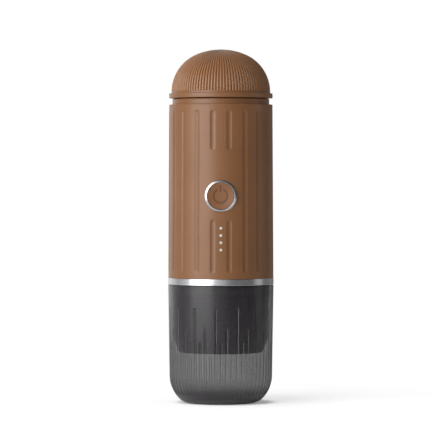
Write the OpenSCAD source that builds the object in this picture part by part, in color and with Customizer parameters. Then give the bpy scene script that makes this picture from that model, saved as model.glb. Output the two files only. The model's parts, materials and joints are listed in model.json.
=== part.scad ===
// Portable espresso maker: a fluted body shell on a clear drinking cup, with a ribbed dome cap.
// The body holds a heated water tank, a battery pack and a geared plunger pump above the brew group.
// Origin at the centre of the cup's base, +Z up, the power button faces -Y. Millimetres.

/* [Body shell] */
// Outside diameter at the lower end of the shell
body_d_bottom = 69.8; // [68:0.2:76]
// Outside diameter at the shoulder
body_d_top = 68.6; // [67.6:0.2:76]
// Height from the lower end to the shoulder
body_h = 114.8; // [110:0.2:130]
// Least wall thickness
body_wall = 2.4; // [2:0.1:2.8]
// Thickness of the shoulder that the tank hangs under
shoulder_t = 2.6; // [2:0.1:4]
// Chamfer on the shoulder's edge
shoulder_edge = 0.5; // [0.2:0.1:1.2]
// Wall thickness of the neck
neck_wall = 3.6; // [2.4:0.1:4.6]
// Height of the neck above the shoulder
neck_h = 3.9; // [3:0.1:6]
// Width of the ledge inside the shoulder that the tank seals under
neck_ledge = 3.4; // [3:0.1:4.4]

/* [Flutes] */
// Number of flutes round the shell
flute_count = 20; // [12:2:24]
// Width of a flute
flute_w = 3.9; // [2.5:0.1:5]
// Depth of a flute
flute_depth = 0.6; // [0.3:0.05:0.8]
// Plain band between the shoulder and the flutes
flute_top_gap = 4.1; // [2:0.1:8]
// Plain band between the lower end and the flutes
flute_bottom_gap = 3.9; // [2:0.1:8]
// Plain height above the button's centre on the two front flutes
flute_above_button = 30.6; // [20:0.1:36]
// Plain height below the button's centre on the two front flutes
flute_below_button = 15.4; // [13:0.1:19]

/* [Power button] */
// Height of the button's centre above the shell's lower end
button_h = 54.4; // [50:0.2:57]
// Outside diameter of the bezel ring
bezel_d = 21.6; // [18:0.2:22.6]
// Width of the bezel ring
bezel_w = 1.8; // [1.4:0.1:2.4]
// How far the bezel stands proud of the shell
bezel_proud = 0.35; // [0.1:0.05:1]
// Depth of the bezel's flat seat in the curved shell
bezel_seat = 2.1; // [2:0.1:2.4]
// Depth of the dish in the button's face
button_dish = 0.8; // [0.3:0.1:1.2]
// Travel of the button
button_travel = 0.6; // [0.3:0.05:0.65]

/* [Indicator lights] */
// Number of indicator lights
led_count = 4; // [2:1:5]
// Spacing of the lights
led_pitch = 4.75; // [3:0.05:4.9]
// Distance from the button's centre down to the first light
led_drop = 21; // [17:0.1:23]
// Diameter of a light
led_d = 1.8; // [1.2:0.1:2.4]

/* [Cap] */
// How far the cap's rim stands out past the shell's shoulder
cap_rim_proud = 0.05; // [0:0.05:2]
// Height of the cap's rim
cap_rim_h = 3.2; // [2.4:0.1:5]
// Step from the rim's edge in to the dome
dome_step = 1.6; // [1:0.1:4]
// Height of the dome above the rim
dome_h = 29.2; // [26:0.1:31]
// How far the crown rises above the radius of the side arc
dome_crown = 1.3; // [1:0.1:4]
// Wall thickness of the dome
dome_wall = 2; // [1.4:0.1:3]
// Number of ribs round the dome
rib_count = 100; // [40:4:120]
// Depth of the valleys between the ribs
rib_depth = 0.45; // [0.2:0.05:0.7]
// Wall thickness of the cap's plug
plug_wall = 2.2; // [1.6:0.1:3]
// Length of the plug in the neck
plug_l = 6.2; // [5:0.1:6.6]
// Height of the sealing ring on the plug
cap_seal_h = 2; // [1.4:0.1:2.6]

/* [Trim ring] */
// Height of the metal band between the shell and the cup
ring_h = 4.3; // [3:0.1:6]
// How far the band stands out past the shell
ring_proud = 0.1; // [0:0.05:1]
// Width of the metal band
ring_w = 5; // [4:0.1:6]
// Chamfer on the band's outer edges
ring_edge = 0.3; // [0.1:0.05:0.6]

/* [Cup] */
// Taper of the cup's wall on the radius, from its rim down to its lower corner
cup_taper = 0.95; // [0.4:0.05:1.6]
// Height of the cup
cup_h = 78.4; // [76:0.2:90]
// Wall thickness of the cup
cup_wall = 2.4; // [1.8:0.1:2.8]
// Thickness of the cup's floor
cup_floor = 3.2; // [2:0.1:5]
// Height at which the lower corner starts
cup_corner_z = 20; // [18:0.1:21]
// Radius of the lower corner
cup_corner_r = 24.5; // [23:0.1:26]
// Angle down the lower corner at which the foot starts
cup_foot_angle = 48; // [44:1:52]
// Turn from the lower corner into the foot
cup_foot_turn = 12; // [8:1:16]
// Number of grooves round the cup
groove_count = 60; // [36:4:72]
// Width of a groove
groove_w = 1.5; // [0.8:0.05:1.8]
// Depth of a groove
groove_depth = 0.45; // [0.2:0.05:0.6]
// Height at which the longest grooves start
groove_top = 63; // [50:0.5:70]
// Steps from the longest grooves down to the start of the shorter ones
groove_steps = [0, 23, 14, 32.8]; // [0:0.1:36]
// Angle that the grooves run round the lower corner
groove_wrap = 34; // [24:1:36]

/* [Brew group] */
// Height of the brew head's lower end above the base
brew_head_z = 33.5; // [31:0.1:35]
// Outside diameter of the brew head
brew_head_d = 58.8; // [57:0.1:59]
// How far the brew head narrows on the radius towards its lower end
brew_head_taper = 2.8; // [1:0.1:3]
// Height over which the brew head narrows
brew_taper_h = 16; // [10:0.5:20]
// Height of the collar that the cup slides over
collar_h = 8.7; // [7:0.1:10]
// Diameter of the boss that the brew head turns on to
boss_d = 47; // [46:0.1:48]
// Height of that boss
boss_h = 8; // [7:0.1:10]
// Bore of the water chamber above the coffee
chamber_d = 38; // [36:0.1:39]
// Thickness of the brew gasket
gasket_t = 1.4; // [1:0.1:2]
// Outside diameter of the filter basket's body
basket_d = 36.8; // [34:0.1:37.4]
// Wall thickness of the filter basket
basket_wall = 0.6; // [0.5:0.05:1]
// Diameter of the coffee outlet
spout_d = 6.6; // [6.4:0.1:8]
// Width of the ring that seals the cup
cup_seal_h = 2.6; // [1.8:0.1:3.4]

/* [Water tank] */
// Space between the tank and the shell's bore, for the insulation
tank_gap = 3.9; // [3.7:0.1:6]
// Wall thickness of the tank
tank_wall = 0.6; // [0.5:0.05:1]
// Thickness of the tank's sealing ring
tank_seal_t = 1.2; // [0.8:0.1:1.6]
// Diameter of the heater under the tank
heater_d = 36; // [30:0.2:37]
// Thickness of the heater
heater_t = 2.5; // [2:0.1:4]
// Outside diameter of the pipe stubs that the hoses push on to
stub_d = 4.8; // [4:0.1:5.2]
// Wall thickness of a hose
hose_wall = 1.6; // [1.2:0.1:1.8]

/* [Batteries and boards] */
// Diameter of a battery cell
cell_d = 18.4; // [17:0.1:18.8]
// Length of a battery cell
cell_l = 65; // [60:0.1:66]
// Gap between the two cells
cell_gap = 10; // [9:0.1:12]
// Width of the control board
board_w = 28; // [24:0.2:29]
// Thickness of the control board
board_t = 1.6; // [1:0.1:2]
// Distance from the shell's bore to the control board
board_setback = 8; // [7.8:0.1:8.6]

/* [Pump] */
// Diameter of the pump motor
motor_d = 24.4; // [20:0.1:25]
// Length of the pump motor
motor_l = 31; // [26:0.1:33]
// Height of the pump block
pump_h = 29; // [28:0.1:31]
// Length of the pump block
pump_l = 17; // [15:0.1:18]
// Width of the pump block
pump_w = 14; // [12:0.1:15]
// Diameter of the plunger
plunger_d = 6; // [4:0.1:7]
// Throw of the crank
crank_throw = 2.5; // [1.5:0.1:2.8]
// Module of the gears
gear_module = 0.5; // [0.4:0.05:0.52]
// Teeth on the motor's pinion
pinion_teeth = 16; // [16:1:18]
// Teeth on the crank gear
gear_teeth = 36; // [30:2:36]
// Width of the gears
gear_t = 5; // [3:0.1:5.5]

/* [Charging port] */
// Height of the port's centre above the shell's lower end
port_h = 14; // [13:0.1:18]
// Width of the port's cover
port_cover_w = 15; // [14:0.1:16]
// Height of the port's cover
port_cover_h = 8; // [7.4:0.1:9]
// Thickness of the port's cover
port_cover_t = 1.2; // [1:0.05:1.4]

/* [Fits] */
// Clearance between pieces that slide or turn past each other
slide_fit = 0.3; // [0.2:0.05:0.4]
// Clearance of fixed pieces that push together
push_fit = 0.05; // [0.02:0.01:0.08]
// Clearance of shafts and plungers in their bores
run_fit = 0.05; // [0.02:0.01:0.1]
// Open seam between outer pieces
seam = 0.3; // [0.2:0.05:0.6]
// Shank diameter of the screws
screw_d = 2.5; // [2:0.1:2.6]
// Head diameter of the screws
screw_head_d = 4.6; // [4:0.1:4.8]
// Head height of the screws
screw_head_h = 1.4; // [1:0.1:1.6]

/* [Hidden] */
$fn = 96;
fine = 180;
brown = [0.48, 0.31, 0.2];
smoke = [0.3, 0.3, 0.32, 0.6];
dark = [0.13, 0.13, 0.14];
steel = [0.75, 0.75, 0.76];
silicone = [0.55, 0.55, 0.55];
board_green = [0.1, 0.32, 0.2];
over = 1;

// Heights, from the base up
ring_z = cup_h + seam;
body_z = ring_z + ring_h;
shoulder_z = body_z + body_h;
ledge_z = shoulder_z - shoulder_t;
neck_z = shoulder_z + neck_h;
cap_z = neck_z + seam;
dome_z = cap_z + cap_rim_h;
button_z = body_z + button_h;
port_z = body_z + port_h;
base_t = 3;
base_top = body_z + base_t;
root_z = base_top - over;
cell_z = base_top + 0.6;
support_z = cell_z + cell_l + 1.4;
support_t = 2.5;
heater_z = support_z + support_t;
tank_z = heater_z + heater_t;
collar_z = ring_z - collar_h;
boss_z = collar_z - boss_h;

// Radii of the shell
bore_r = min(body_d_top, body_d_bottom) / 2 - body_wall;
inner_limit = bore_r - 2 * slide_fit;
neck_bore_d = 2 * (bore_r - neck_ledge);
neck_d = neck_bore_d + 2 * neck_wall;
tank_d = 2 * (bore_r - tank_gap);
function body_r(z) = (body_d_bottom + (body_d_top - body_d_bottom) * (z - body_z) / body_h) / 2;
body_draft = atan2((body_d_bottom - body_d_top) / 2, body_h);
// Radius of the arc that is w wide and d deep
function fillet_r(w, d) = (w * w / 4 + d * d) / (2 * d);

// Pieces that are flush with the shell's two ends
cap_rim_d = body_d_top + 2 * cap_rim_proud;
dome_d = cap_rim_d - 2 * dome_step;
ring_d = body_d_bottom + 2 * ring_proud;
ring_bore_d = ring_d - 2 * ring_w;
cup_d = ring_d;
cup_low_d = cup_d - 2 * cup_taper;

// Button stack, as distances from the axis
button_r = body_r(button_z);
seat_h = button_r - bezel_seat;
bezel_bore_r = bezel_d / 2 - bezel_w;
sleeve_wall = 0.9;
sleeve_reach = 2.9;
sleeve_r = bezel_bore_r + sleeve_wall;
sleeve_end = bore_r - sleeve_reach;
boss_lip = 0.1;
boss_end = sleeve_end - boss_lip;
boss_wall = 1.6;
boss_root = 0.4;
boss_front = bore_r - boss_root;
button_inset = 0.3;
button_front = button_r - button_inset;
button_flange_t = 1;
button_back = sleeve_end - slide_fit - button_flange_t;
board_h = bore_r - board_setback;
board_back = board_h - board_t;
switch_w = 6.2;
switch_t = 2.4;
switch_floor = 0.3;
stem_l = 0.5;
switch_tip_d = 3.4;
led_chip = [2, 1.6, 1.2];
led_zs = [for (i = [0:led_count - 1]) button_z - led_drop - i * led_pitch];

// Charging port, as distances from the axis
port_r = body_r(port_z);
port_hinge_r = 0.6;
port_hinge_w = 6;
port_hinge = [port_r - 0.4, port_z - port_cover_h / 2 + 0.2];
port_groove_w = port_cover_w - 3;
usb_opening = [9.6, 4];
usb_w = 8.94;
usb_h = 3.26;
usb_l = 7.3;
usb_front = port_r - port_cover_t - slide_fit - 0.5;
charge_board_w = 11;
charge_board_t = 1.2;
charge_board_z = port_z - usb_h / 2 - charge_board_t;
charge_post_w = 8;

// Places inside the shell, seen from above
cell_ring_r = bore_r - cell_d / 2 - 2 * slide_fit;
charge_post_l = inner_limit - cell_ring_r - 2;
cell_angle = asin((cell_d + cell_gap) / 2 / cell_ring_r);
cell_angles = [90 - cell_angle, 90 + cell_angle];
motor_y = -board_back + 2.6 + motor_d / 2;
gear_distance = gear_module * (pinion_teeth + gear_teeth) / 2;
gear_tip_r = gear_module * (gear_teeth / 2 + 1);
pinion_tip_r = gear_module * (pinion_teeth / 2 + 1);
gear_x = gear_distance;
pump_x1 = -pinion_tip_r - 4.5;
pump_x0 = pump_x1 - pump_l;
inlet_x = pump_x0 + 6;
outlet_x = pump_x1 - 5;
hose_d = stub_d + 2 * push_fit + 2 * hose_wall;
stub_wall = 0.8;
stub_l = 6;
cell_socket_wall = 1.8;
cell_socket_h = 8;
rear_column_d = 6;
rear_column_gap = 2.4;
rear_column_y = motor_y + motor_d / 2 + rear_column_gap + rear_column_d / 2;
column_x0 = board_w / 2 - 1.5;
column_x1 = board_w / 2 + 3.5;
column_front = board_h + 2;
column_depth = board_t + 5.5;
board_z = base_top + 9;
column_screw = [board_w / 2 + 1.2, -board_back + 1.6];
support_screws_at = [column_screw, [-column_screw[0], column_screw[1]], [0, rear_column_y]];
shell_boss_d = 6.4;
shell_boss_h = 8;
shell_boss_ring_r = ring_bore_d / 2 - screw_head_d / 2 - 1.2;
shell_boss_turn = 36;
shell_boss_angles = [cell_angles[0] - shell_boss_turn, cell_angles[1] + shell_boss_turn, 270];
shell_boss_web = 2;
shell_screw_seat = 1;
collar_screw_angles = [48, 132, 222, 318];
collar_screw_sink = 0.2;
support_screw_l = 7;
support_screw_sink = 0.1;
sensor_d = 5;
sensor_l = 3.2;
tank_stub_z = support_z - stub_l - 2;

// Pump heights
bracket_z = base_top + pump_h;
bracket_t = 2.5;
bracket_w = 20;
motor_z = bracket_z + bracket_t;
gear_z = bracket_z - 3 - gear_t;
crank_disc_t = 1.5;
crank_pin_d = 3;
crank_pin_l = 3.2;
yoke_rim = 0.2;
yoke_t = plunger_d + 2 * yoke_rim;
plunger_z = gear_z - crank_disc_t - crank_pin_l - slide_fit - yoke_t / 2;
gear_pin_d = 3;
shaft_d = 2;
shaft_depth = 10;
leg_d = 4.4;
motor_screw_r = (bracket_w - screw_head_d) / 2 - 0.2;
motor_screw_l = bracket_t + 3;
pressure_angle = 20;
backlash = 0.12;
plunger_reach = pump_l - 7;
outlet_stub_l = (base_top - ring_z) / 2 - 0.3;
leg_x = sqrt(pow(inner_limit - leg_d / 2, 2) - pow(motor_y, 2));

// Cup outline: a tapered wall and a large lower corner, with one groove left of the front
groove_phase = -6.4;
corner_x = cup_low_d / 2 - cup_corner_r;
function cup_inner_r(z) =
    (cup_low_d + (cup_d - cup_low_d) * (z - cup_corner_z) / (cup_h - cup_corner_z)) / 2 - cup_wall;

// Brew group radii and heights
screw_post_r = 4;
screen_screw_l = 4.4;
collar_r = cup_inner_r(collar_z) - slide_fit;
cup_seal_z = collar_z + (collar_h - cup_seal_h) / 2;
cup_seal_depth = 1.5;
screen_z = boss_z + 2;
screen_t = 0.8;
screen_gap = 2.6;
chamber_top = screen_z + screen_t + screen_gap;
gasket_z = boss_z - gasket_t;
basket_rim_t = 1.2;
basket_rim_r = boss_d / 2 - 0.9;
basket_top = gasket_z - seam / 2;
basket_seat = basket_top - basket_rim_t;
brew_head_top = collar_z - seam;
brew_head_bore = boss_d / 2 + slide_fit;
brew_well_r = basket_d / 2 + 2 * slide_fit;
spout_wall = 1.8;
spout_recess = 2.5;
well_z = brew_head_z + spout_recess + 2.5;
funnel_h = 2;
basket_z = well_z + funnel_h + 0.6;

// Cap outline
plug_r = neck_bore_d / 2 - slide_fit;
plug_z = cap_z - plug_l;
plug_floor = 2;
cap_seal_depth = 1.5;
cap_seal_z = plug_z + (plug_l - cap_seal_h) / 2 - 0.4;
dome_side_r = dome_h - dome_crown;
dome_crown_r = (pow(dome_d / 2, 2) + pow(dome_h, 2) - dome_d * dome_side_r) / (2 * dome_crown);
dome_joint = atan2(dome_crown_r - dome_h, dome_d / 2 - dome_side_r);

// Places its children on the front of the body, with local Z pointing out of the front
module on_front(z) {
    translate([0, 0, z]) rotate([90, 0, 0]) children();
}

// Turned ring between two radii
module ring(r_in, r_out, z, h) {
    rotate_extrude($fn = fine) translate([r_in, z]) square([r_out - r_in, h]);
}

// Straight pipe along Z
module pipe(d, wall, h) {
    difference() {
        cylinder(d = d, h = h);
        translate([0, 0, -over]) cylinder(d = d - 2 * wall, h = h + 2 * over);
    }
}

// Flat outline with round ends
module stadium(w, h) {
    square([w - h, h], center = true);
    for (s = [-1, 1]) translate([s * (w - h) / 2, 0]) circle(d = h);
}

// Cheese-head screw pointing up, with its head below z = 0
module screw(l) {
    translate([0, 0, -screw_head_h]) cylinder(d = screw_head_d, h = screw_head_h);
    cylinder(d = screw_d, h = l);
}

// Round holes on a hexagonal grid inside a circle
module hole_grid(r, pitch, d, h) {
    n = ceil(r / pitch);
    for (i = [-n:n], j = [-n:n]) {
        x = (i + j / 2) * pitch;
        y = j * pitch * sqrt(3) / 2;
        if (norm([x, y]) < r) translate([x, y, -over]) cylinder(d = d, h = h + 2 * over);
    }
}

// Long cutter with eased ends that sinks a flute into the tapered shell, from z0 to z1
module flute_cutter(z0, z1) {
    r = fillet_r(flute_w, flute_depth);
    ease = sqrt(r * r - pow(r - flute_depth, 2));
    half_drop = r - sqrt(r * r - ease * ease / 4);
    translate([body_r(z0) + r - flute_depth, 0, z0]) rotate([0, -body_draft, 0]) rotate_extrude()
        polygon([
            [0, 0], [r - flute_depth, 0], [r - half_drop, ease / 2], [r, ease],
            [r, z1 - z0 - ease], [r - half_drop, z1 - z0 - ease / 2], [r - flute_depth, z1 - z0],
            [0, z1 - z0]
        ]);
}

// All flutes: the front pair stops round the button and the rear pair stops above the port
module flutes() {
    z0 = body_z + flute_bottom_gap;
    z1 = shoulder_z - flute_top_gap;
    step = 360 / flute_count;
    for (i = [0:flute_count - 1]) {
        angle = -90 + (i + 0.5) * step;
        front = i == 0 || i == flute_count - 1;
        rear = i == flute_count / 2 || i == flute_count / 2 - 1;
        rotate(angle) {
            if (front) {
                flute_cutter(z0, button_z - flute_below_button);
                flute_cutter(button_z + flute_above_button, z1);
            } else if (rear) {
                flute_cutter(port_z + port_cover_h + flute_bottom_gap, z1);
            } else {
                flute_cutter(z0, z1);
            }
        }
    }
}

// Bar along the hinge line of the port's cover
module port_hinge_bar(r, w) {
    translate([-w / 2, port_hinge[0], port_hinge[1]]) rotate([0, 90, 0]) cylinder(r = r, h = w);
}

// Prism with round ends that reaches out through the rear wall
module port_prism(w, h, from) {
    translate([0, from, port_z]) rotate([-90, 0, 0]) linear_extrude(body_d_bottom) stadium(w, h);
}

module shell_profile() {
    polygon([
        [bore_r, body_z], [body_d_bottom / 2, body_z],
        [body_r(shoulder_z - shoulder_edge), shoulder_z - shoulder_edge],
        [body_d_top / 2 - shoulder_edge, shoulder_z], [neck_d / 2, shoulder_z], [neck_d / 2, neck_z],
        [neck_bore_d / 2, neck_z], [neck_bore_d / 2, ledge_z], [bore_r, ledge_z]
    ]);
}

// Screw bosses on the shell's wall, with a web to the wall
module shell_bosses() {
    for (a = shell_boss_angles) rotate(a) translate([shell_boss_ring_r, 0, base_top + seam]) {
        cylinder(d = shell_boss_d, h = shell_boss_h);
        translate([0, -shell_boss_web / 2, 0])
            cube([bore_r + over - shell_boss_ring_r, shell_boss_web, shell_boss_h]);
    }
}

module body_shell() {
    color(brown) difference() {
        union() {
            rotate_extrude($fn = fine) shell_profile();
            on_front(button_z) translate([0, 0, boss_end])
                cylinder(d = bezel_d + 2 * boss_wall, h = boss_front - boss_end);
            shell_bosses();
        }
        flutes();
        on_front(button_z) {
            translate([0, 0, seat_h]) cylinder(d = bezel_d + 2 * seam, h = body_d_bottom);
            translate([0, 0, boss_end - over]) cylinder(r = sleeve_r + push_fit, h = body_d_bottom);
        }
        for (z = led_zs) on_front(z)
            translate([0, 0, bore_r - over]) cylinder(d = led_d + 2 * push_fit, h = body_d_bottom);
        port_prism(usb_opening[0], usb_opening[1], bore_r - over);
        difference() {
            port_prism(port_cover_w + 2 * slide_fit, port_cover_h + 2 * slide_fit, bore_r - over);
            cylinder(r = port_r - port_cover_t - slide_fit, h = body_h + body_z);
        }
        port_hinge_bar(port_hinge_r + slide_fit, port_groove_w);
        for (a = shell_boss_angles) rotate(a) translate([shell_boss_ring_r, 0, base_top + seam - over])
            cylinder(d = screw_d + 2 * push_fit, h = shell_boss_h);
    }
}

module trim_ring() {
    r = ring_d / 2;
    color(steel) rotate_extrude($fn = fine) polygon([
        [ring_bore_d / 2, ring_z], [r - ring_edge, ring_z], [r, ring_z + ring_edge], [r, body_z - ring_edge],
        [r - ring_edge, body_z], [ring_bore_d / 2, body_z]
    ]);
}

// Slotted posts that hold the control board, cut to clear the shell
module board_columns() {
    for (s = [-1, 1]) difference() {
        intersection() {
            translate([s > 0 ? column_x0 : -column_x1, -column_front, root_z])
                cube([column_x1 - column_x0, column_depth, support_z - root_z]);
            cylinder(r = inner_limit, h = support_z);
        }
        translate([-board_w / 2 - push_fit, -board_h - push_fit, board_z])
            cube([board_w + 2 * push_fit, board_t + 2 * push_fit, support_z]);
    }
}

module chassis() {
    color(dark) difference() {
        union() {
            cylinder_from(ring_z, ring_bore_d / 2 - push_fit, body_z);
            cylinder_from(body_z, bore_r - slide_fit, base_top);
            board_columns();
            translate([0, rear_column_y, root_z]) cylinder(d = rear_column_d, h = support_z - root_z);
            intersection() {
                for (a = cell_angles) rotate(a) translate([cell_ring_r, 0, root_z])
                    cylinder(d = cell_d + 2 * cell_socket_wall, h = base_top + cell_socket_h - root_z);
                cylinder(r = inner_limit, h = support_z);
            }
            translate([-charge_post_w / 2, cell_ring_r, root_z])
                cube([charge_post_w, charge_post_l, charge_board_z - root_z]);
        }
        for (a = cell_angles) rotate(a + 180)
            translate([-cell_ring_r, 0, base_top]) cylinder(d = cell_d + slide_fit, h = support_z);
        translate([outlet_x, motor_y, ring_z - over])
            cylinder(d = hose_d + 2 * slide_fit, h = base_top - ring_z + 2 * over);
        for (a = shell_boss_angles) rotate(a) translate([shell_boss_ring_r, 0, ring_z - over]) {
            cylinder(d = screw_d + 2 * push_fit, h = base_top - ring_z + 2 * over);
            cylinder(d = screw_head_d + 2 * slide_fit, h = ring_h - shell_screw_seat + over);
        }
        for (a = collar_screw_angles) rotate(a) translate([shell_boss_ring_r, 0, ring_z - over])
            cylinder(d = screw_d + 2 * push_fit, h = ring_h);
        for (p = support_screws_at) translate([p[0], p[1], support_z - support_screw_l])
            cylinder(d = screw_d + 2 * push_fit, h = support_screw_l + over);
    }
}

module cylinder_from(z0, r, z1) {
    translate([0, 0, z0]) cylinder(r = r, h = z1 - z0, $fn = fine);
}

module tank_support() {
    stub_gap = 2;
    seat_z = support_t - screw_head_h - support_screw_sink;
    color(dark) difference() {
        cylinder_from(support_z, inner_limit, support_z + support_t);
        translate([inlet_x, motor_y, support_z - over])
            cylinder(d = stub_d + 2 * stub_gap, h = support_t + 2 * over);
        translate([0, 0, support_z - over])
            cylinder(d = sensor_d + 2 * slide_fit, h = support_t + 2 * over);
        for (p = support_screws_at) translate([p[0], p[1], support_z - over]) {
            cylinder(d = screw_d + 2 * push_fit, h = support_t + 2 * over);
            translate([0, 0, seat_z + over])
                cylinder(d = screw_head_d + 2 * slide_fit, h = screw_head_h + over);
        }
    }
}

module water_tank() {
    r = tank_d / 2;
    flange_z = ledge_z - tank_seal_t;
    color(steel) {
        difference() {
            union() {
                rotate_extrude($fn = fine) polygon([
                    [0, tank_z], [r, tank_z], [r, flange_z - tank_wall],
                    [bore_r - slide_fit, flange_z - tank_wall], [bore_r - slide_fit, flange_z],
                    [r - tank_wall, flange_z], [r - tank_wall, tank_z + tank_wall], [0, tank_z + tank_wall]
                ]);
                translate([inlet_x, motor_y, tank_stub_z]) cylinder(d = stub_d, h = tank_z - tank_stub_z);
            }
            translate([inlet_x, motor_y, tank_stub_z - over])
                cylinder(d = stub_d - 2 * stub_wall, h = tank_z - tank_stub_z + tank_wall + 2 * over);
        }
    }
}

module tank_seal() {
    color(silicone) ring(neck_bore_d / 2, bore_r - slide_fit, ledge_z - tank_seal_t, tank_seal_t);
}

module insulation_sleeve() {
    z0 = tank_z + 1;
    z1 = ledge_z - tank_seal_t - tank_wall - 2;
    color("gainsboro") ring(tank_d / 2 + slide_fit, inner_limit, z0, z1 - z0);
}

module heater_plate() {
    color("dimgray") cylinder_from(heater_z, heater_d / 2, tank_z);
}

module temperature_sensor() {
    color("black") cylinder_from(heater_z - sensor_l, sensor_d / 2, heater_z);
}

module battery_cells() {
    nub = 0.6;
    color("steelblue") for (a = cell_angles) rotate(a) translate([cell_ring_r, 0, cell_z]) {
        cylinder(d = cell_d, h = cell_l - nub);
        cylinder(d = cell_d / 3, h = cell_l);
    }
}

// Metal straps across the ends of the cells
module cell_links() {
    strap_w = 7;
    strap_t = 0.4;
    strap_end = 4;
    span = 2 * cell_ring_r * sin(cell_angle);
    y = cell_ring_r * cos(cell_angle) - strap_w / 2;
    color(steel) {
        translate([-span / 2 - strap_end, y, cell_z + cell_l])
            cube([span + 2 * strap_end, strap_w, strap_t]);
        for (s = [-1, 1]) translate([s * span / 2 - strap_w / 2, y, cell_z - strap_t])
            cube([strap_w, strap_w, strap_t]);
    }
}

module control_board() {
    top_gap = 3;
    color(board_green) translate([-board_w / 2, -board_h, board_z + push_fit])
        cube([board_w, board_t, support_z - board_z - top_gap]);
}

module switch_housing() {
    color("black") on_front(button_z) difference() {
        translate([-switch_w / 2, -switch_w / 2, board_h]) cube([switch_w, switch_w, switch_t]);
        translate([0, 0, board_h + switch_floor - run_fit])
            cylinder(d = switch_tip_d + 2 * run_fit, h = switch_t);
    }
}

module switch_plunger() {
    z0 = board_h + switch_floor + button_travel;
    color("whitesmoke") on_front(button_z) translate([0, 0, z0])
        cylinder(d = switch_tip_d, h = button_back - stem_l - z0);
}

module indicator_leds() {
    color("white") for (z = led_zs) on_front(z)
        translate([-led_chip[0] / 2, -led_chip[1] / 2, board_h]) cube(led_chip);
}

// Clear pins that carry the light to the shell's face, joined by a bar behind the wall
module light_guide() {
    pin_back = board_h + led_chip[2] + slide_fit;
    tip_proud = 0.1;
    bar_w = led_d + 1.4;
    bar_t = 1.6;
    bar_gap = 4;
    bar_back = board_h + bar_gap;
    color("white") {
        for (z = led_zs) on_front(z) translate([0, 0, pin_back])
            cylinder(d = led_d, h = body_r(z) + tip_proud - pin_back);
        on_front(led_zs[led_count - 1]) translate([-bar_w / 2, -bar_w / 2, bar_back])
            cube([bar_w, led_zs[0] - led_zs[led_count - 1] + bar_w, bar_t]);
    }
}

module button_bezel() {
    front = button_r + bezel_proud;
    outer_r = bezel_d / 2;
    bevel = bezel_w / 2;
    lip = bezel_w / 6;
    color(steel) on_front(button_z) rotate_extrude($fn = fine) polygon([
        [bezel_bore_r, sleeve_end], [sleeve_r, sleeve_end], [sleeve_r, seat_h], [outer_r, seat_h],
        [outer_r, front - bevel], [outer_r - bevel, front], [bezel_bore_r + lip, front],
        [bezel_bore_r, front - lip]
    ]);
}

module power_button() {
    r = bezel_bore_r - slide_fit / 2;
    flange_r = r + 0.7;
    edge = 0.3;
    rim_w = 0.5;
    dish_r = fillet_r(2 * (r - rim_w), button_dish);
    color(brown) on_front(button_z) difference() {
        union() {
            rotate_extrude($fn = fine) polygon([
                [0, button_back], [flange_r, button_back], [flange_r, button_back + button_flange_t],
                [r, button_back + button_flange_t], [r, button_front - edge], [r - edge, button_front],
                [0, button_front]
            ]);
            translate([0, 0, button_back - stem_l]) cylinder(d = switch_tip_d + 1, h = stem_l);
        }
        translate([0, 0, button_front + dish_r - button_dish]) sphere(r = dish_r, $fn = fine);
    }
}

module charge_board() {
    y0 = cell_ring_r - 0.5;
    color(board_green) translate([-charge_board_w / 2, y0, charge_board_z])
        cube([charge_board_w, inner_limit - 0.5 - y0, charge_board_t]);
}

module usb_socket() {
    wall = 0.35;
    back = 1;
    tongue = [6.7, 5.1, 0.7];
    color(steel) translate([0, usb_front - usb_l, port_z]) {
        rotate([-90, 0, 0]) difference() {
            linear_extrude(usb_l) stadium(usb_w, usb_h);
            translate([0, 0, back]) linear_extrude(usb_l) stadium(usb_w - 2 * wall, usb_h - 2 * wall);
        }
        translate([-tongue[0] / 2, back / 2, -tongue[2] / 2]) cube(tongue);
    }
}

// Cover that lies flush in the rear wall and swings on its lower edge
module usb_cover() {
    color(brown) {
        difference() {
            intersection() {
                port_prism(port_cover_w, port_cover_h, bore_r);
                translate([0, 0, body_z])
                    cylinder(d1 = body_d_bottom, d2 = body_d_top, h = body_h, $fn = fine);
            }
            cylinder(r = port_r - port_cover_t, h = body_z + body_h, $fn = fine);
        }
        port_hinge_bar(port_hinge_r, port_hinge_w);
    }
}

module pump_bracket() {
    x0 = outlet_x - 1;
    pinion_gap = 1;
    color(dark) difference() {
        union() {
            intersection() {
                translate([x0, motor_y - bracket_w / 2, bracket_z])
                    cube([body_d_bottom, bracket_w, bracket_t]);
                cylinder(r = inner_limit, h = shoulder_z);
            }
            translate([leg_x, motor_y, base_top]) cylinder(d = leg_d, h = pump_h + bracket_t);
        }
        translate([0, motor_y, bracket_z - over]) {
            cylinder(r = pinion_tip_r + pinion_gap, h = bracket_t + 2 * over);
            translate([gear_x, 0, 0]) cylinder(d = gear_pin_d + 2 * push_fit, h = bracket_t + 2 * over);
            for (s = [-1, 1]) translate([0, s * motor_screw_r, 0])
                cylinder(d = screw_d + 2 * push_fit, h = bracket_t + 2 * over);
        }
    }
}

module pump_motor() {
    boss_l = 2;
    pilot_l = 4;
    color("silver") translate([0, motor_y, motor_z]) difference() {
        union() {
            cylinder(d = motor_d, h = motor_l - boss_l);
            cylinder(d = motor_d / 2, h = motor_l);
        }
        translate([0, 0, -over]) cylinder(d = shaft_d + 2 * run_fit, h = shaft_depth + 2 * over);
        for (s = [-1, 1]) translate([0, s * motor_screw_r, -over])
            cylinder(d = screw_d + 2 * push_fit, h = pilot_l + over);
    }
}

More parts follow.
